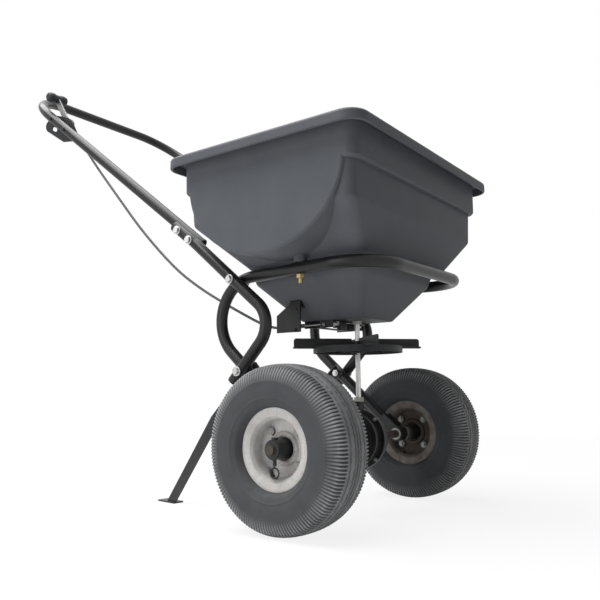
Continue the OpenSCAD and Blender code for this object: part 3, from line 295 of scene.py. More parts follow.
# %% Group helpers
def group(name, takes, gives):
    """An empty shader node group with named inputs and outputs."""
    tree = bpy.data.node_groups.new(name, "ShaderNodeTree")
    for label, kind, value in takes:
        tree.interface.new_socket(label, in_out="INPUT", socket_type=kind).default_value = value
    for label, kind in gives:
        tree.interface.new_socket(label, in_out="OUTPUT", socket_type=kind)
    return tree, tree.nodes.new("NodeGroupInput").outputs, tree.nodes.new("NodeGroupOutput").inputs


def use(tree, shared, **values):
    """Places a shared group in a material with its own values."""
    return put(tree, "ShaderNodeGroup", _node_tree=shared, **values).outputs


def blend_colour(tree, amount, a, b):
    """Mixes two colours by a socket or a number."""
    node = put(tree, "ShaderNodeMix", _data_type="RGBA", Factor=amount)
    for socket, colour in ((node.inputs[6], a), (node.inputs[7], b)):
        feed(tree, colour if is_socket(colour) else (*colour, 1), socket)
    return node.outputs[2]


def object_place(tree):
    """The place of a point in the object's own coordinates, in metres."""
    return put(tree, "ShaderNodeTexCoord").outputs["Object"]


print("group helpers", [helper.__name__ for helper in (group, use, blend_colour, object_place)])

# %% [markdown]
# ## Grain
# Moulded plastic, rubber and powder coat all carry a fine irregular relief. One group makes it for all of
# them: two noises of different size, added as a height and also given out as a slow patchiness that
# varies the colour and the gloss. A bump of this kind costs nothing in mesh, which a displaced mesh would.

# %% Grain group
grain, grain_in, grain_out = group(
    "surface_grain",
    [("Scale", FLOAT, 900.0), ("Patch Scale", FLOAT, 14.0), ("Coarse", FLOAT, 0.3)],
    [("Height", FLOAT), ("Patch", FLOAT)])
where = object_place(grain)
fine = noise(grain, where, grain_in["Scale"], detail=3.0, roughness=0.6)
wide = noise(grain, where, number(grain, "MULTIPLY", grain_in["Scale"], 0.18), detail=2.0, roughness=0.5)
slow = noise(grain, where, grain_in["Patch Scale"], detail=4.0, roughness=0.62)
coarse_part = number(grain, "MULTIPLY", wide, grain_in["Coarse"])
feed(grain, number(grain, "ADD", fine, coarse_part), grain_out["Height"])
feed(grain, slow, grain_out["Patch"])
print("group", grain.name, "with", len(grain.nodes), "nodes")

# %% [markdown]
# ## Dust
# A spreader that has stood in a shed is a little paler where dust settles: on what faces up, and
# near the ground. The group mixes a dust colour over the paint by the upward slope and the height,
# broken up with noise, and gives out the amount, so that the gloss can drop with it. Dust painted on by
# hand could follow the same rule, but it would have to be done again after each change of shape.

# %% Dust group
SHED_DUST = (0.34, 0.33, 0.31, 1)
dust, dust_in, dust_out = group(
    "settled_dust",
    [("Colour", COLOUR, (0.1, 0.1, 0.1, 1)), ("Dust Colour", COLOUR, SHED_DUST),
     ("Amount", FLOAT, 0.2), ("Low Amount", FLOAT, 0.1), ("Fade Height", FLOAT, 0.3)],
    [("Colour", COLOUR), ("Mask", FLOAT)])
where = object_place(dust)
normal = put(dust, "ShaderNodeNewGeometry").outputs["Normal"]
up = put(dust, "ShaderNodeSeparateXYZ", Vector=normal).outputs["Z"]
height = put(dust, "ShaderNodeSeparateXYZ", Vector=where).outputs["Z"]
facing = number(dust, "POWER", number(dust, "MAXIMUM", up, 0.0), 1.6)
settled = number(dust, "MULTIPLY", facing, dust_in["Amount"])
near_ground = ranged(dust, height, stop=dust_in["Fade Height"], first=1.0, last=0.0)
splashed = number(dust, "MULTIPLY", near_ground, dust_in["Low Amount"])
broken = ranged(dust, noise(dust, where, 38.0, detail=6.0, roughness=0.7), 0.36, 0.66)
mask = number(dust, "MULTIPLY", number(dust, "ADD", settled, splashed), broken)
feed(dust, mask, dust_out["Mask"])
feed(dust, blend_colour(dust, mask, dust_in["Colour"], dust_in["Dust Colour"]), dust_out["Colour"])
print("group", dust.name, "with", len(dust.nodes), "nodes")

# %% [markdown]
# ## Scratches
# Handling leaves thin light marks in paint and plastic. A noise stretched hard in one direction and cut
# near its middle gives thin broken lines. Two of them at different angles are enough not to look combed.

# %% Scratch group
scratch, scratch_in, scratch_out = group(
    "thin_scratches", [("Scale", FLOAT, 60.0), ("Width", FLOAT, 0.02)], [("Mask", FLOAT)])
where = object_place(scratch)
lines = []
for turn, stretch in (((0.3, 0.9, 0.4), (1, 14, 1)), ((1.2, 0.2, -0.7), (1, 1, 18))):
    turned = put(scratch, "ShaderNodeMapping", Vector=where, Rotation=turn, Scale=stretch).outputs[0]
    thread = noise(scratch, turned, scratch_in["Scale"], detail=3.0, roughness=0.55)
    middle = number(scratch, "ABSOLUTE", number(scratch, "SUBTRACT", thread, 0.5))
    thin = number(scratch, "MULTIPLY", scratch_in["Width"], 0.12)
    lines.append(number(scratch, "LESS_THAN", middle, thin))
feed(scratch, number(scratch, "MAXIMUM", lines[0], lines[1]), scratch_out["Mask"])
print("group", scratch.name, "with", len(scratch.nodes), "nodes")

# %% [markdown]
# ## Rust, grime and painted shade round a hub
# Water stands in the dish of a rim and leaves brown rust near the hub. The group measures the distance
# from the axle line, and lets a noise eat into the edge of the stain so that it isn't a neat circle. On the
# inner rim halves the same mask reaches far out and is painted shade as well as rust. A gradient texture
# would do for one wheel, but the distance serves both.

# %% Hub grime and painted shade group
grime_and_shade, grime_and_shade_in, grime_and_shade_out = group(
    "hub_grime_and_shade", [("Inner", FLOAT, 0.024), ("Outer", FLOAT, 0.050), ("Ragged", FLOAT, 0.03)],
    [("Mask", FLOAT)])
where = object_place(grime_and_shade)
offset = put(grime_and_shade, "ShaderNodeVectorMath", _operation="SUBTRACT")
feed(grime_and_shade, where, offset.inputs[0])
feed(grime_and_shade, (0, AXLE_Y, AXLE_Z), offset.inputs[1])
flat = put(grime_and_shade, "ShaderNodeVectorMath", _operation="MULTIPLY")
feed(grime_and_shade, offset.outputs[0], flat.inputs[0])
feed(grime_and_shade, (0, 1, 1), flat.inputs[1])
radius = put(grime_and_shade, "ShaderNodeVectorMath", _operation="LENGTH")
feed(grime_and_shade, flat.outputs[0], radius.inputs[0])
eaten = noise(grime_and_shade, where, 55.0, detail=5.0, roughness=0.65)
shift = number(grime_and_shade, "MULTIPLY", number(grime_and_shade, "SUBTRACT", eaten, 0.5), grime_and_shade_in["Ragged"])
reached = number(grime_and_shade, "ADD", radius.outputs["Value"], shift)
feed(grime_and_shade, ranged(grime_and_shade, reached, grime_and_shade_in["Inner"], grime_and_shade_in["Outer"], 1.0, 0.0), grime_and_shade_out["Mask"])
print("group", grime_and_shade.name, "with", len(grime_and_shade.nodes), "nodes")

# %% [markdown]
# ## Finishes
# One function builds the common pattern of a finish: a base colour with slow patches of a second one,
# dust over it, and a grain bump. Scratches, rust near the hub that on the inner rim halves is also painted
# shade, and a paler colour on rubbed places that on the tyres is also a painted highlight come in where they
# are asked for. Every finish then sets its own values, on the shader's own sockets where a value is the same
# all over.

# %% Finish builder
RUST_AND_SHADE_COLOUR = (0.052, 0.038, 0.028)
RUBBED_AND_LIT_COLOUR = (0.34, 0.34, 0.345)
materials = {}


def finish(name, colour, patch, roughness, rough_patch=0.1, metallic=0.0, coat=0.0, coat_rough=0.1,
           specular=0.5, grain_scale=900.0, bump=0.1, depth=0.0004, coarse=0.3, patch_scale=14.0,
           dusty=0.1, low=0.1, dust_colour=SHED_DUST, marks=0.0, mark_colour=(0.3, 0.3, 0.3),
           rust_and_shade=0.0, rust_and_shade_reach=0.030, worn_and_lit=0.0):
    """A material in two patchy colours, with dust and grain, and with scratches (marks), rust within a reach
    of the axle line that on some finishes is also painted shade, and a paler colour on rubbed places that on
    some finishes is also a painted highlight, where these are above 0."""
    material = bpy.data.materials.new(name)
    material.use_nodes = True
    tree = material.node_tree
    tree.nodes.clear()
    shader = put(tree, "ShaderNodeBsdfPrincipled", Metallic=metallic, Coat_Weight=coat,
                 Coat_Roughness=coat_rough, Specular_IOR_Level=specular)
    put(tree, "ShaderNodeOutputMaterial", Surface=shader.outputs[0])
    relief = use(tree, grain, Scale=grain_scale, Patch_Scale=patch_scale, Coarse=coarse)
    tone = ranged(tree, relief["Patch"], 0.32, 0.68)
    paint = blend_colour(tree, tone, colour, patch)
    if marks:
        scratched = use(tree, scratch, Scale=22.0, Width=marks)["Mask"]
        paint = blend_colour(tree, number(tree, "MULTIPLY", scratched, 0.55), paint, mark_colour)
    # Rust round the hub; on the inner rim halves the same darkening is also painted shade.
    if rust_and_shade:
        stain_and_shade = use(tree, grime_and_shade, Inner=rust_and_shade_reach * 0.6, Outer=rust_and_shade_reach, Ragged=0.035)["Mask"]
        paint = blend_colour(tree, number(tree, "MULTIPLY", stain_and_shade, rust_and_shade), paint, RUST_AND_SHADE_COLOUR)
    # A paler colour on rubbed, raised places; on the tyres it is also a painted highlight on the tread.
    if worn_and_lit:
        raised = put(tree, "ShaderNodeAttribute", _attribute_name="wear").outputs["Fac"]
        rubbed_and_lit = number(tree, "MULTIPLY", number(tree, "MULTIPLY", raised, worn_and_lit), relief["Patch"])
        paint = blend_colour(tree, rubbed_and_lit, paint, RUBBED_AND_LIT_COLOUR)
    dirt = use(tree, dust, Colour=paint, Dust_Colour=dust_colour, Amount=dusty, Low_Amount=low)
    feed(tree, dirt["Colour"], shader.inputs["Base Color"])
    gloss = number(tree, "ADD", number(tree, "MULTIPLY", tone, rough_patch), roughness)
    dulled = number(tree, "ADD", gloss, number(tree, "MULTIPLY", dirt["Mask"], 0.6))
    feed(tree, number(tree, "MINIMUM", dulled, 1.0), shader.inputs["Roughness"])
    ripple = put(tree, "ShaderNodeBump", Strength=bump, Distance=depth, Height=relief["Height"])
    feed(tree, ripple.outputs[0], shader.inputs["Normal"])
    materials[name] = material
    print("finish", name, "with", len(tree.nodes), "nodes")


# %% [markdown]
# The hopper is a rotationally moulded polyethylene tub, charcoal with a fine satin grain. It holds
# little dust, and its few scratches are barely paler than the plastic. A higher gloss would mirror the
# white room and bleach the front.

# %% Hopper plastic
finish("hopper_plastic", (0.091, 0.097, 0.107), (0.104, 0.110, 0.121), 0.42, 0.08, specular=0.07,
       grain_scale=1400.0, bump=0.22, depth=0.0003, dusty=0.08, low=0.0, marks=0.015,
       mark_colour=(0.13, 0.135, 0.14))

# %% [markdown]
# The tubes and pressed parts carry a glossy black powder coat, whose "orange peel" is a wide low relief.
# A finer or stronger bump would break its long highlights into sparkle.

# %% Powder coat
finish("black_paint", (0.011, 0.011, 0.012), (0.016, 0.016, 0.017), 0.30, 0.06, specular=0.3,
       grain_scale=120.0, bump=0.006, depth=0.0002, coarse=0.8, dusty=0.03, low=0.05)

# %% [markdown]
# Tyre rubber is matt and dusty, and paler on the tread. The dust on its upper side and the paler tread are
# partly real wear and dust, partly a painted highlight for the light falling on the tread. The mesh of the
# tyre carries the paleness as a point attribute, which the finish reads. Painting it by slope alone would
# miss the tips of the tread.

# %% Rubber
# The tyre's dust and paler tread are partly real, partly a painted highlight on the tread.
finish("tyre_rubber", (0.050, 0.053, 0.058), (0.066, 0.069, 0.074), 0.60, 0.14, specular=0.2,
       grain_scale=1200.0, bump=0.3, depth=0.0004, patch_scale=22.0, dusty=0.2, low=0.06,
       dust_colour=(0.27, 0.27, 0.265, 1), worn_and_lit=1.8)
finish("inner_rubber", (0.025, 0.025, 0.027), (0.035, 0.035, 0.037), 0.5, 0.1, grain_scale=1500.0,
       bump=0.2)

# %% [markdown]
# The rims are sprayed a warm grey and rust near the hub. The inner halves get a darker finish of their own,
# whose rust reaches much farther out: partly real rust, partly painted shade for the inside of the far
# wheel.

# %% Rims
finish("rim_grey", (0.58, 0.57, 0.56), (0.46, 0.44, 0.42), 0.42, 0.16, coat=0.15, coat_rough=0.3,
       grain_scale=600.0, bump=0.2, depth=0.0003, coarse=1.0, patch_scale=48.0, dusty=0.1, low=0.12,
       dust_colour=(0.16, 0.135, 0.11, 1), marks=0.03, mark_colour=(0.12, 0.10, 0.09), rust_and_shade=0.72)
# The darker inner rim halves: rust and painted shade.
finish("rusty_and_shaded_rim", (0.26, 0.245, 0.23), (0.15, 0.125, 0.105), 0.5, 0.16, specular=0.3,
       grain_scale=600.0, bump=0.25, depth=0.0003, coarse=1.0, patch_scale=60.0, dusty=0.1, low=0.12,
       dust_colour=(0.10, 0.08, 0.06, 1), rust_and_shade=0.92, rust_and_shade_reach=0.062)

# %% [markdown]
# Small hardware is zinc plated. It is dull on most pieces, and bright on the shaft and the bolts that stand
# out against the black tubes. The axle is bare steel gone dark, the hopper bolts are brass coloured, and
# the gears inside the case are clean. All but the dark steel are fully metallic, so that they take their
# brightness from the room as plated parts do. A grey paint would look flat beside them.

# %% Metals
finish("zinc", (0.20, 0.20, 0.195), (0.32, 0.32, 0.31), 0.42, 0.16, metallic=1.0, grain_scale=900.0,
       bump=0.15, depth=0.0002, patch_scale=90.0, dusty=0.1, low=0.1, marks=0.05,
       mark_colour=(0.20, 0.20, 0.20))
finish("bright_zinc", (0.46, 0.46, 0.45), (0.60, 0.60, 0.59), 0.34, 0.14, metallic=1.0,
       grain_scale=900.0, bump=0.12, depth=0.0002, patch_scale=90.0, dusty=0.08, low=0.08, marks=0.04)
finish("dark_steel", (0.036, 0.030, 0.024), (0.070, 0.058, 0.046), 0.5, 0.2, metallic=0.2, specular=0.3,
       grain_scale=800.0, bump=0.3, depth=0.0003, coarse=0.8, patch_scale=110.0, dusty=0.15, low=0.1)
finish("brass_plate", (0.33, 0.25, 0.12), (0.42, 0.33, 0.17), 0.36, 0.16, metallic=1.0, bump=0.15,
       depth=0.0002, patch_scale=120.0, dusty=0.05, low=0.0, marks=0.04, mark_colour=(0.20, 0.18, 0.12))
finish("gear_steel", (0.30, 0.30, 0.31), (0.38, 0.38, 0.38), 0.42, 0.15, metallic=1.0,
       grain_scale=1800.0, bump=0.4, depth=0.0003, dusty=0.0, low=0.0)

# %% [markdown]
# The axle bearings and the shaft bushes are natural nylon. The impeller, the hub bushes, the grip and the
# plate of the flow control are moulded in a satin black, and the cable's sheath is a smooth dark grey vinyl.
# All three are plain plastics, so they differ in colour and gloss alone and need no nodes of their own.

# %% Small mouldings
finish("nylon", (0.50, 0.50, 0.46), (0.58, 0.58, 0.54), 0.45, 0.1, bump=0.1, dusty=0.05, low=0.1)
finish("moulded_black", (0.020, 0.021, 0.023), (0.030, 0.031, 0.033), 0.46, 0.12, specular=0.25,
       grain_scale=1600.0, bump=0.25, depth=0.0003, dusty=0.08, low=0.05, marks=0.02,
       mark_colour=(0.08, 0.08, 0.08))
finish("sheath", (0.075, 0.077, 0.080), (0.095, 0.097, 0.100), 0.45, 0.1, grain_scale=1500.0, bump=0.04,
       depth=0.0001, patch_scale=30.0, dusty=0.0, low=0.0)
cable.data.materials.append(materials["sheath"])

# %% [markdown]
# ## Dressing the solids
# Every CAD node takes the finish of its slot in the record, apart from the few that look different from
# the rest of their slot. Setting each node by hand would work as well, but the record already knows.

# %% Finishes by slot
BRIGHT_NODES = ("impeller_shaft", "crossing_bolts", "handle_bolts", "gate_screws")
look_for_slot = {"tyre": "tyre_rubber"}
look_for_node = {node: "bright_zinc" for node in BRIGHT_NODES}
# The inner rim halves take the darker finish that is partly painted shade.
look_for_node |= {"rim_inner_left": "rusty_and_shaded_rim", "rim_inner_right": "rusty_and_shaded_rim"}
slots = {row["node"]: row["material_slot"] for row in frame["record"]["subparts"]}
for node_name, piece in frame["nodes"].items():
    slot_name = slots[node_name]
    look_name = look_for_node.get(node_name, look_for_slot.get(slot_name, slot_name))
    piece.data.materials.clear()
    piece.data.materials.append(materials[look_name])
print("dressed", len(frame["nodes"]), "nodes")

# %% [markdown]
# Pressed and moulded pieces also get a Weld and a Bevel modifier: a real edge is never knife sharp, and
# even half a millimetre of rounding catches a line of light. Weighted normals keep the flat faces flat.

# %% Rounded edges
EDGES = {
    0.0010: ("gear_case_left", "gear_case_right"),
    0.0008: ("impeller", "stand_leg_left", "stand_leg_right", "gate_guides", "lever_grip", "hub_left",
             "hub_right"),
    0.0006: ("axle_brackets", "cable_bracket", "control_bracket", "flow_lever", "rim_bolts_left",
             "rim_bolts_right"),
    0.0005: ("gate_plate", "handle_bolts", "crossing_bolts", "rim_outer_left", "rim_outer_right",
             "rim_inner_left", "rim_inner_right"),
    0.0004: ("cable_clamp", "hopper_bolts", "lever_pivot"),
    0.0003: ("case_screws", "gate_screws"),
}


def soften(piece, width, angle=32):
    """Rounds the edges of a solid that has hard ones."""
    weld = piece.modifiers.new("weld", "WELD")
    weld.merge_threshold = 0.00001
    edge = piece.modifiers.new("rounding", "BEVEL")
    edge.width = width
    edge.segments = 2
    edge.limit_method = "ANGLE"
    edge.angle_limit = math.radians(angle)
    edge.use_clamp_overlap = True
    faces = piece.modifiers.new("flat_faces", "WEIGHTED_NORMAL")
    faces.keep_sharp = False


for width, names in EDGES.items():
    for node_name in names:
        soften(frame["nodes"][node_name], width)
print("rounded", sum(len(names) for names in EDGES.values()), "nodes")

# %% [markdown]
# ## Hopper
# The tub is a moulding with soft corners: a funnel up to a crease, upright walls, a wider collar, a
# turned-down lip, and a half-round trough across it that shows as a D-shaped panel on each side. It is
# built from lofts, stacks of rounded rectangles, each with its creases already rounded, and joined with
# exact booleans. Sculpting from one subdivided box would blur the crisp edge of the D.

# %% Solids and lofts
def solid(name, vertices, faces):
    """A mesh object from points in metres."""
    data = bpy.data.meshes.new(name)
    data.from_pydata([tuple(v) for v in vertices], [], faces)
    data.validate()
    piece = bpy.data.objects.new(name, data)
    scene.collection.objects.link(piece)
    return piece


def outward(piece):
    """Turns all faces outward."""
    work = bmesh.new()
    work.from_mesh(piece.data)
    bmesh.ops.remove_doubles(work, verts=work.verts, dist=1e-6)
    bmesh.ops.recalc_face_normals(work, faces=work.faces)
    work.to_mesh(piece.data)
    work.free()
    return piece


def loft(name, rings, closed=False):
    """A skin over rings of equal length, with end caps unless it is closed on itself."""
    n = len(rings[0])
    faces = []
    last = len(rings) if closed else len(rings) - 1
    for i in range(last):
        k = (i + 1) % len(rings)
        for j in range(n):
            q = (j + 1) % n
            faces.append((i * n + j, i * n + q, k * n + q, k * n + j))
    if not closed:
        faces.append(tuple(range(n)))
        faces.append(tuple((len(rings) - 1) * n + j for j in range(n)))
    return outward(solid(name, [p for ring in rings for p in ring], faces))


def smooth(piece, angle):
    """Shades a piece smooth, apart from edges that turn by more than an angle in degrees."""
    for face in piece.data.polygons:
        face.use_smooth = True
    piece.data.set_sharp_from_angle(angle=math.radians(angle))


print("solid helpers", [helper.__name__ for helper in (solid, outward, loft, smooth)])

# %% [markdown]
# A level cut through the tub is a rounded rectangle. It is written as a section: its height, half width,
# front, rear and corner radius. Between two sections the wall is straight, so each crease is replaced by a
# few sections on a short curve, as a moulded crease is. A bevel after the loft could fail where faces meet.

# %% Sections
def rounded_ring(section, steps=9):
    """Points of a rounded rectangle, section = (z, half width, front, rear, corner radius) in mm."""
    z, half, front, rear, r = section
    points = []
    for quarter, (sx, y) in enumerate(((1, rear), (-1, rear), (-1, front), (1, front))):
        cx = sx * (half - r)
        cy = y - r if y == rear else y + r
        for i in range(steps + 1):
            a = math.radians(90 * quarter + 90 * i / steps)
            points.append(spot(cx + r * math.cos(a), cy + r * math.sin(a), z))
    return points


def stack(name, sections):
    """A loft over a stack of sections."""
    return loft(name, [rounded_ring(s) for s in sections])


def inset(section, gap, lift=0.0):
    """A section drawn in by a gap on every side, and lifted."""
    z, half, front, rear, r = section
    return (z + lift, half - gap, front + gap, rear - gap, max(r - gap, 4))


def between(a, b, t):
    """A section part of the way from one to another."""
    return tuple(p + (q - p) * t for p, q in zip(a, b))


def crease_share(here, other, reach):
    """How far along the wall towards another section a crease's curve begins, as a share of the wall."""
    return min(0.45, reach / math.dist(here[:2], other[:2]))


def soften_creases(sections, reach, steps=5):
    """Replaces each inner section of a stack by a short curve through it."""
    result = [sections[0]]
    for before, here, after in zip(sections, sections[1:], sections[2:]):
        start = between(here, before, crease_share(here, before, reach))
        stop = between(here, after, crease_share(here, after, reach))
        for k in range(steps + 1):
            t = k / steps
            result.append(between(between(start, here, t), between(here, stop, t), t))
    return result + [sections[-1]]


print("section helpers", [helper.__name__ for helper in (rounded_ring, stack, inset, soften_creases)])

# %% [markdown]
# The values below are the hopper's heights and half widths in millimetres, the same as the solid's. The
# outside and the inside are two stacks, and the inside is cut out later. A Solidify modifier would do it in
# one step, but its wall would thin out at the creases.

# %% Hopper body
WALL, CREASE_R = 4, 5
FLOOR_Z, NECK_Z, CREASE_Z, COLLAR_Z = 362, 455.1, 536, 598
NECK_HALF, CREASE_HALF = 164, 242
body = [(FLOOR_Z, 62, -49, 92, 10), (432.9, 135, -94, 152, 18), (NECK_Z, 143.3, -100, 151, 18),
        (NECK_Z + 8, NECK_HALF, -113, 151, 20), (CREASE_Z, CREASE_HALF, -142, 215, 20),
        (COLLAR_Z + 4, CREASE_HALF + 4, -143, 218, 20)]
floor_edge = [(FLOOR_Z, 59.5, -46.5, 89.5, 7.5), (FLOOR_Z + 0.8, 61.5, -48.5, 91.5, 9.5)]
inner_body = [inset(body[0], 1.2, WALL)] + [inset(s, WALL, 2) for s in body[1:]]
tub = stack("hopper_moulding", floor_edge + soften_creases(body, CREASE_R)[1:])
body_core = stack("body_core", soften_creases(inner_body, CREASE_R))
print("body", len(tub.data.vertices), "points, core", len(body_core.data.vertices))

# %% [markdown]
# The collar is a wider band that sits on the body with a small rounded step. Its inside and the passage
# down into the body are tools of their own, cut out together with the body's inside. One stack for body and
# collar would be shorter, but it couldn't take the trough between them.

# %% Hopper collar
collar_low, collar_top = (COLLAR_Z, 250, -153, 229, 20), (664, 250.5, -154, 231, 22)
collar_step = [inset(collar_low, 3.6), inset(collar_low, 0.8, 3), inset(collar_low, 0, 4.6)]
collar_skin = stack("collar_skin", collar_step + [collar_top])
collar_core = stack("collar_core", [inset(collar_low, WALL, WALL), inset(collar_top, WALL, 8)])
link_core = stack("link_core", [(590, 241.6, -137.6, 212.6, 18), (604, 242, -138, 213, 18)])
print("collar", len(collar_skin.data.vertices), "points")

# %% [markdown]
# The trough is a half ellipse drawn from the side and run across the hopper. Its two ends are the D
# panels, so the ends get the small radius that makes the bright line round each D. A bevel on the joined
# tub would have to find that edge among many others.

# %% Trough
TROUGH_Y, TROUGH_Z, TROUGH_TOP = 40, 610, 660
TROUGH_DEPTH, TROUGH_HALF, TROUGH_REACH = 147, 172, 250


def trough(name, grow, edge):
    """The D-shaped form, grown by some millimetres, with rounded end edges."""
    depth, width, reach = TROUGH_DEPTH + grow, TROUGH_HALF + grow, TROUGH_REACH + grow
    rings = []
    stations = [(-1, a) for a in (0, 22, 45, 68, 90)] + [(1, a) for a in (90, 68, 45, 22, 0)]
    for side, a in stations:
        pull = edge * (1 - math.sin(math.radians(a)))
        x = side * (reach - edge * (1 - math.cos(math.radians(a))))
        arc = [(math.pi + math.pi * k / 64) for k in range(65)]
        ring = [spot(x, TROUGH_Y + (width - pull) * math.cos(b), TROUGH_Z + (depth - pull) * math.sin(b))
                for b in arc]
        ring += [spot(x, TROUGH_Y + end * (width - pull), TROUGH_TOP) for end in (1, -1)]
        rings.append(ring)
    return loft(name, rings)


trough_skin = trough("trough_skin", 0, 5)
trough_core = trough("trough_core", -WALL, 2)
print("trough", len(trough_skin.data.vertices), "points")

# %% [markdown]
# Now the skins are joined and the insides cut away. The exact solver is slower than the fast one, but it
# keeps thin walls whole where faces nearly touch. Each step is applied at once and its tool removed, so
# that no hidden cutter is left in the scene.

# %% Joining the tub
def combine(piece, other, operation):
    """Joins, cuts or trims one solid with another, and removes the other."""
    step = piece.modifiers.new(other.name, "BOOLEAN")
    step.operation = operation
    step.solver = "EXACT"
    step.object = other
    bpy.context.view_layer.update()
    result = bpy.data.meshes.new_from_object(piece.evaluated_get(bpy.context.evaluated_depsgraph_get()))
    piece.modifiers.clear()
    piece.data = result
    bpy.data.objects.remove(other)


for skin in (trough_skin, collar_skin):
    combine(tub, skin, "UNION")
for core in (body_core, link_core, collar_core, trough_core):
    combine(tub, core, "DIFFERENCE")
print("tub after joining", len(tub.data.polygons), "faces")

# %% [markdown]
# The lip is one profile carried round the rim: down the outside, over a rounded edge, across the top and
# down inside the collar. It overlaps the collar wall, as both are one moulding. A curve with a bevel
# profile would twist at the corners, where rings of points don't.

# %% Lip
LIP_HALF, LIP_FRONT, LIP_REAR, LIP_CORNER = 275, -175, 256, 34
LIP_ROUND, LIP_ROUND_Z = 7, 661
lip_profile = [(4, 647.6), (0.8, 648), (0, 649.2)]
for a in range(0, 91, 15):
    turn = math.radians(a)
    lip_profile.append((LIP_ROUND - LIP_ROUND * math.cos(turn), LIP_ROUND_Z + LIP_ROUND * math.sin(turn)))
lip_profile += [(20, 668), (25, 667.2), (28, 665), (29, 661), (29, 655), (26, 655), (24.5, 663), (5, 663)]
lip_rings = [rounded_ring((z, LIP_HALF - d, LIP_FRONT + d, LIP_REAR - d, LIP_CORNER - 0.45 * d), 12)
             for d, z in lip_profile]
combine(tub, loft("hopper_lip", lip_rings, closed=True), "UNION")
print("tub with its lip", len(tub.data.polygons), "faces")

# %% [markdown]
# Two round bosses stand on the frame's hopper ring and take the hopper bolts. They go where that ring runs
# at the bolts, and rise until they meet the sloping wall. The shaft hole and the two outlets in the floor
# are cut last. All of them are plain rods and blocks, joined or cut like the rest: extruding faces
# of the finished tub would depend on how the booleans happened to split it.

# %% Bosses and outlets
BOLT_Y, BOSS_R = 8, 12
RING_FLARE, RING_FLARE_R, RING_FLARE_Y = math.radians(9), 120, 128
SHAFT_HOLE_R = 8.75
OUTLET_X, OUTLET_HALF, OUTLET_FRONT, OUTLET_REAR = 26, 13, 50, 67


def rod(name, x, y, low, high, r, steps=40):
    """An upright plain rod, used as a tool for cutting and joining."""
    rings = []
    for z, q in ((low, r - 0.6), (low + 0.6, r), (high - 0.6, r), (high, r - 0.6)):
        turns = [2 * math.pi * k / steps for k in range(steps)]
        rings.append([spot(x + q * math.cos(a), y + q * math.sin(a), z) for a in turns])
    return loft(name, rings)


def ring_side(y):
    """Half width of the hopper ring of the frame at a distance behind the axle."""
    bend = LOOP_HALF + RING_FLARE_R * (1 - math.cos(RING_FLARE))
    return bend + (RING_FLARE_Y - RING_FLARE_R * math.sin(RING_FLARE) - y) * math.tan(RING_FLARE)


wall_slope = (CREASE_Z - NECK_Z - 8) / (CREASE_HALF - NECK_HALF)
boss_top = NECK_Z + 10 + (ring_side(BOLT_Y) + BOSS_R - NECK_HALF + WALL) * wall_slope
for side in (-1, 1):
    boss = rod("boss", side * ring_side(BOLT_Y), BOLT_Y, NECK_Z, boss_top, BOSS_R)
    combine(tub, boss, "UNION")
combine(tub, rod("shaft_hole", 0, 0, FLOOR_Z - 12, FLOOR_Z + 18, SHAFT_HOLE_R), "DIFFERENCE")
for side in (-1, 1):
    left, right = side * OUTLET_X - OUTLET_HALF, side * OUTLET_X + OUTLET_HALF
    corners = [(left, OUTLET_FRONT), (right, OUTLET_FRONT), (right, OUTLET_REAR), (left, OUTLET_REAR)]
    outlet = loft("outlet", [[spot(x, y, z) for x, y in corners] for z in (FLOOR_Z - 12, FLOOR_Z + 13)])
    combine(tub, outlet, "DIFFERENCE")
print("ring half width at the bolts", round(ring_side(BOLT_Y), 1), "mm, boss top", round(boss_top, 1), "mm")

# %% [markdown]
# The finished tub is shaded smooth between its real edges, takes its plastic and stands in for the plain
# solid of the hopper. Booleans leave faces of very uneven size, and weighted normals let the large ones
# lead, so that the broad walls look flat. A remesh would even the faces out, but soften the creases too.

# %% Hopper finish
tub.name = "hopper_moulding"
smooth(tub, 28)
even = tub.modifiers.new("flat_faces", "WEIGHTED_NORMAL")
even.keep_sharp = True
tub.data.materials.clear()
tub.data.materials.append(materials["hopper_plastic"])
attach(tub, "frame")
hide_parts("hopper")
print("hopper", len(tub.data.polygons), "faces")

# %% [markdown]
# ## Tyres
# Each tyre is a profile turned round the axle, with the tread worked in as it turns: zigzag grooves that
# run round, and saw-tooth cuts across both shoulders. Moving points while turning keeps the mesh even.
# Cutting hundreds of slots with booleans would be slow and leave a ragged mesh.

# %% Tyre sizes
WHEEL_X, TYRE_R, TYRE_HALF = 229, 137.5, 49.5
TREAD_HALF, FLANGE, BEAD = 35.64, 66.75, 50.8
CUTS, PER_CUT = 144, 4
GROOVES, GROOVE_HALF, GROOVE_FOOT_HALF, GROOVE_DEPTH, ZIGZAG = (7.5, 20.0), 2.1, 1.3, 4.4, 0.9
BLOCK_CUT, SHOULDER_CUT, UPPER_FLANK_CUT, LOWER_FLANK_CUT = 2.6, 2.8, 2.4, 1.6


def crown(t):
    """Radius of the tread at a distance from its middle."""
    return TYRE_R - 3.2 * (abs(t) / TREAD_HALF) ** 2.4


def flank(a, inset_by=0.0):
    """Sidewall point at an angle up or down from the widest place, as (radius, offset)."""
    c = max(math.cos(math.radians(a)), 0.0) ** 0.7
    s = math.sin(math.radians(a))
    return ((TYRE_R + FLANGE) / 2 - 3 + (TYRE_R - FLANGE) * 0.43 * s - inset_by * s,
            TREAD_HALF * 0.97 + (TYRE_HALF - TREAD_HALF * 0.97) * c - inset_by * c)


print("tread edge", [round(c, 1) for c in flank(60)], "widest", [round(c, 1) for c in flank(0)])

# %% [markdown]
# The profile is a list of points from the middle of the tread outward and back along the inside. Each has
# a radius, an offset from the middle, the depth of the saw-tooth cut there and the share of the zigzag. Two
# thin ridges on the sidewall are bumps added to its arc, as on most tyres of this kind.

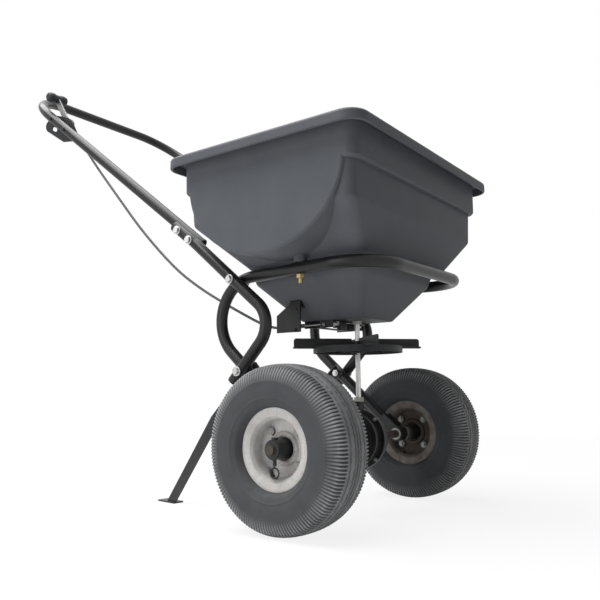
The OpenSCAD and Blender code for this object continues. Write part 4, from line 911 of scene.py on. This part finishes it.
# %% Tyre profile
half = [(TYRE_R, 0, 0, 0)]
for middle in GROOVES:
    for t, r in ((middle - GROOVE_HALF, crown(middle - GROOVE_HALF)),
                 (middle - GROOVE_FOOT_HALF, TYRE_R - GROOVE_DEPTH),
                 (middle + GROOVE_FOOT_HALF, TYRE_R - GROOVE_DEPTH),
                 (middle + GROOVE_HALF, crown(middle + GROOVE_HALF))):
        half.append((r, t, 0.0, 1.0))
    half.append((crown(middle + 4.5), middle + 4.5, 0.0, 0.0))
for t in (25.5, 26.6, 28.5, 31.0, 33.5):
    half.append((crown(t), t, BLOCK_CUT if t > 26 else 0.0, 0))
edge_r, edge_t = flank(60)
shoulder_r = crown(TREAD_HALF)
for k in range(1, 6):
    t = k / 6
    bulge = 1.3 * math.sin(math.pi * t)
    half.append((shoulder_r + (edge_r - shoulder_r) * t + bulge,
                 TREAD_HALF + (edge_t - TREAD_HALF) * t + bulge * 0.6, SHOULDER_CUT, 0))
for a in range(60, -61, -3):
    r, t = flank(a)
    ridge = 1.2 * math.exp(-((a - 18) / 4) ** 2) + 0.8 * math.exp(-((a + 33) / 3) ** 2)
    cut = UPPER_FLANK_CUT if a > 50 else LOWER_FLANK_CUT if a > 25 else 0.0
    half.append((r, min(t + ridge, TYRE_HALF - 0.1), cut, 0))
bead = [(FLANGE + 1.4, 35.0), (FLANGE + 0.4, 33.0), (FLANGE + 0.4, 30.3), (FLANGE - 3, 30.4),
        (BEAD + 4, 27.6), (BEAD + 0.8, 24.5), (BEAD + 0.8, 18), (BEAD + 6, 16.5), (FLANGE + 2, 25)]
inside = [flank(a, 6) for a in range(-60, 61, 20)] + [(TYRE_R - 11, TREAD_HALF * 0.8)]
half += [(r, t, 0, 0) for r, t in bead + inside]
full = half + [(r, -t, d, z) for r, t, d, z in reversed(half[1:])]
print("tyre profile", len(full), "points,", CUTS * PER_CUT, "steps round")

# %% [markdown]
# As the profile turns, four steps make one tooth: two nearly whole and two cut. One shoulder is half a
# tooth ahead of the other, as on the real tread. Each point also keeps a value, high on the raised tips and
# near the tread and low in the cuts, which the rubber reads to turn paler there: partly road wear, partly a
# painted highlight on the tread and its teeth, with the cuts left at the dark base colour.

# %% Tyres
TOOTH = (0.0, 0.25, 1.0, 0.9)
# How far out the tread turns paler: road wear and a painted highlight on the tread.
WEAR_AND_HIGHLIGHT_FROM, WEAR_AND_HIGHLIGHT_OVER, PLAIN_WEAR_AND_HIGHLIGHT = 108, 22, 0.6


def wear_at(r, t, depth, notch):
    """How much paler a point of the profile turns, from 0 to 1: partly road wear, partly a painted highlight
    on the tread.
    """
    if r <= FLANGE + 30 or abs(t) <= 2:
        return 0.0
    reach = min(max((r - WEAR_AND_HIGHLIGHT_FROM) / WEAR_AND_HIGHLIGHT_OVER, 0.0), 1.0)
    return reach * (1 - notch) if depth else reach * PLAIN_WEAR_AND_HIGHLIGHT


def tyre(name, side, body_name, node):
    """A tyre on one side, built round its own wheel centre."""
    rings, wear = [], []
    for j in range(CUTS * PER_CUT):
        a = 2 * math.pi * j / (CUTS * PER_CUT)
        tooth, other = TOOTH[j % PER_CUT], TOOTH[(j + 2) % PER_CUT]
        wave = abs((j / (PER_CUT * 2.0)) % 1.0 - 0.5) * 4 - 1
        ring = []
        for r, t, depth, zig in full:
            notch = tooth if t > 0 else other
            reach = r - depth * notch
            x = side * WHEEL_X + t + zig * wave * ZIGZAG
            ring.append(spot(x, reach * math.cos(a), TYRE_R + reach * math.sin(a)))
            wear.append(wear_at(r, t, depth, notch))
        rings.append(ring)
    piece = loft(name, rings, closed=True)
    # The paleness per point, partly wear and partly painted highlight, is stored on the mesh for the rubber.
    piece.data.attributes.new("wear", "FLOAT", "POINT").data.foreach_set("value", wear)
    smooth(piece, 38)
    piece.data.materials.append(materials["tyre_rubber"])
    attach(piece, body_name)
    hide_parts(node)
    print(name, len(piece.data.vertices), "points")


tyre("tyre_tread_left", -1, "drive_axle", "tyre_left")
tyre("tyre_tread_right", 1, "right_wheel", "tyre_right")

# %% [markdown]
# ## View transform
# The view transform is plain, so that colours render as they are written.

# %% Finish
scene.view_settings.view_transform = "Standard"
bpy.context.view_layer.update()
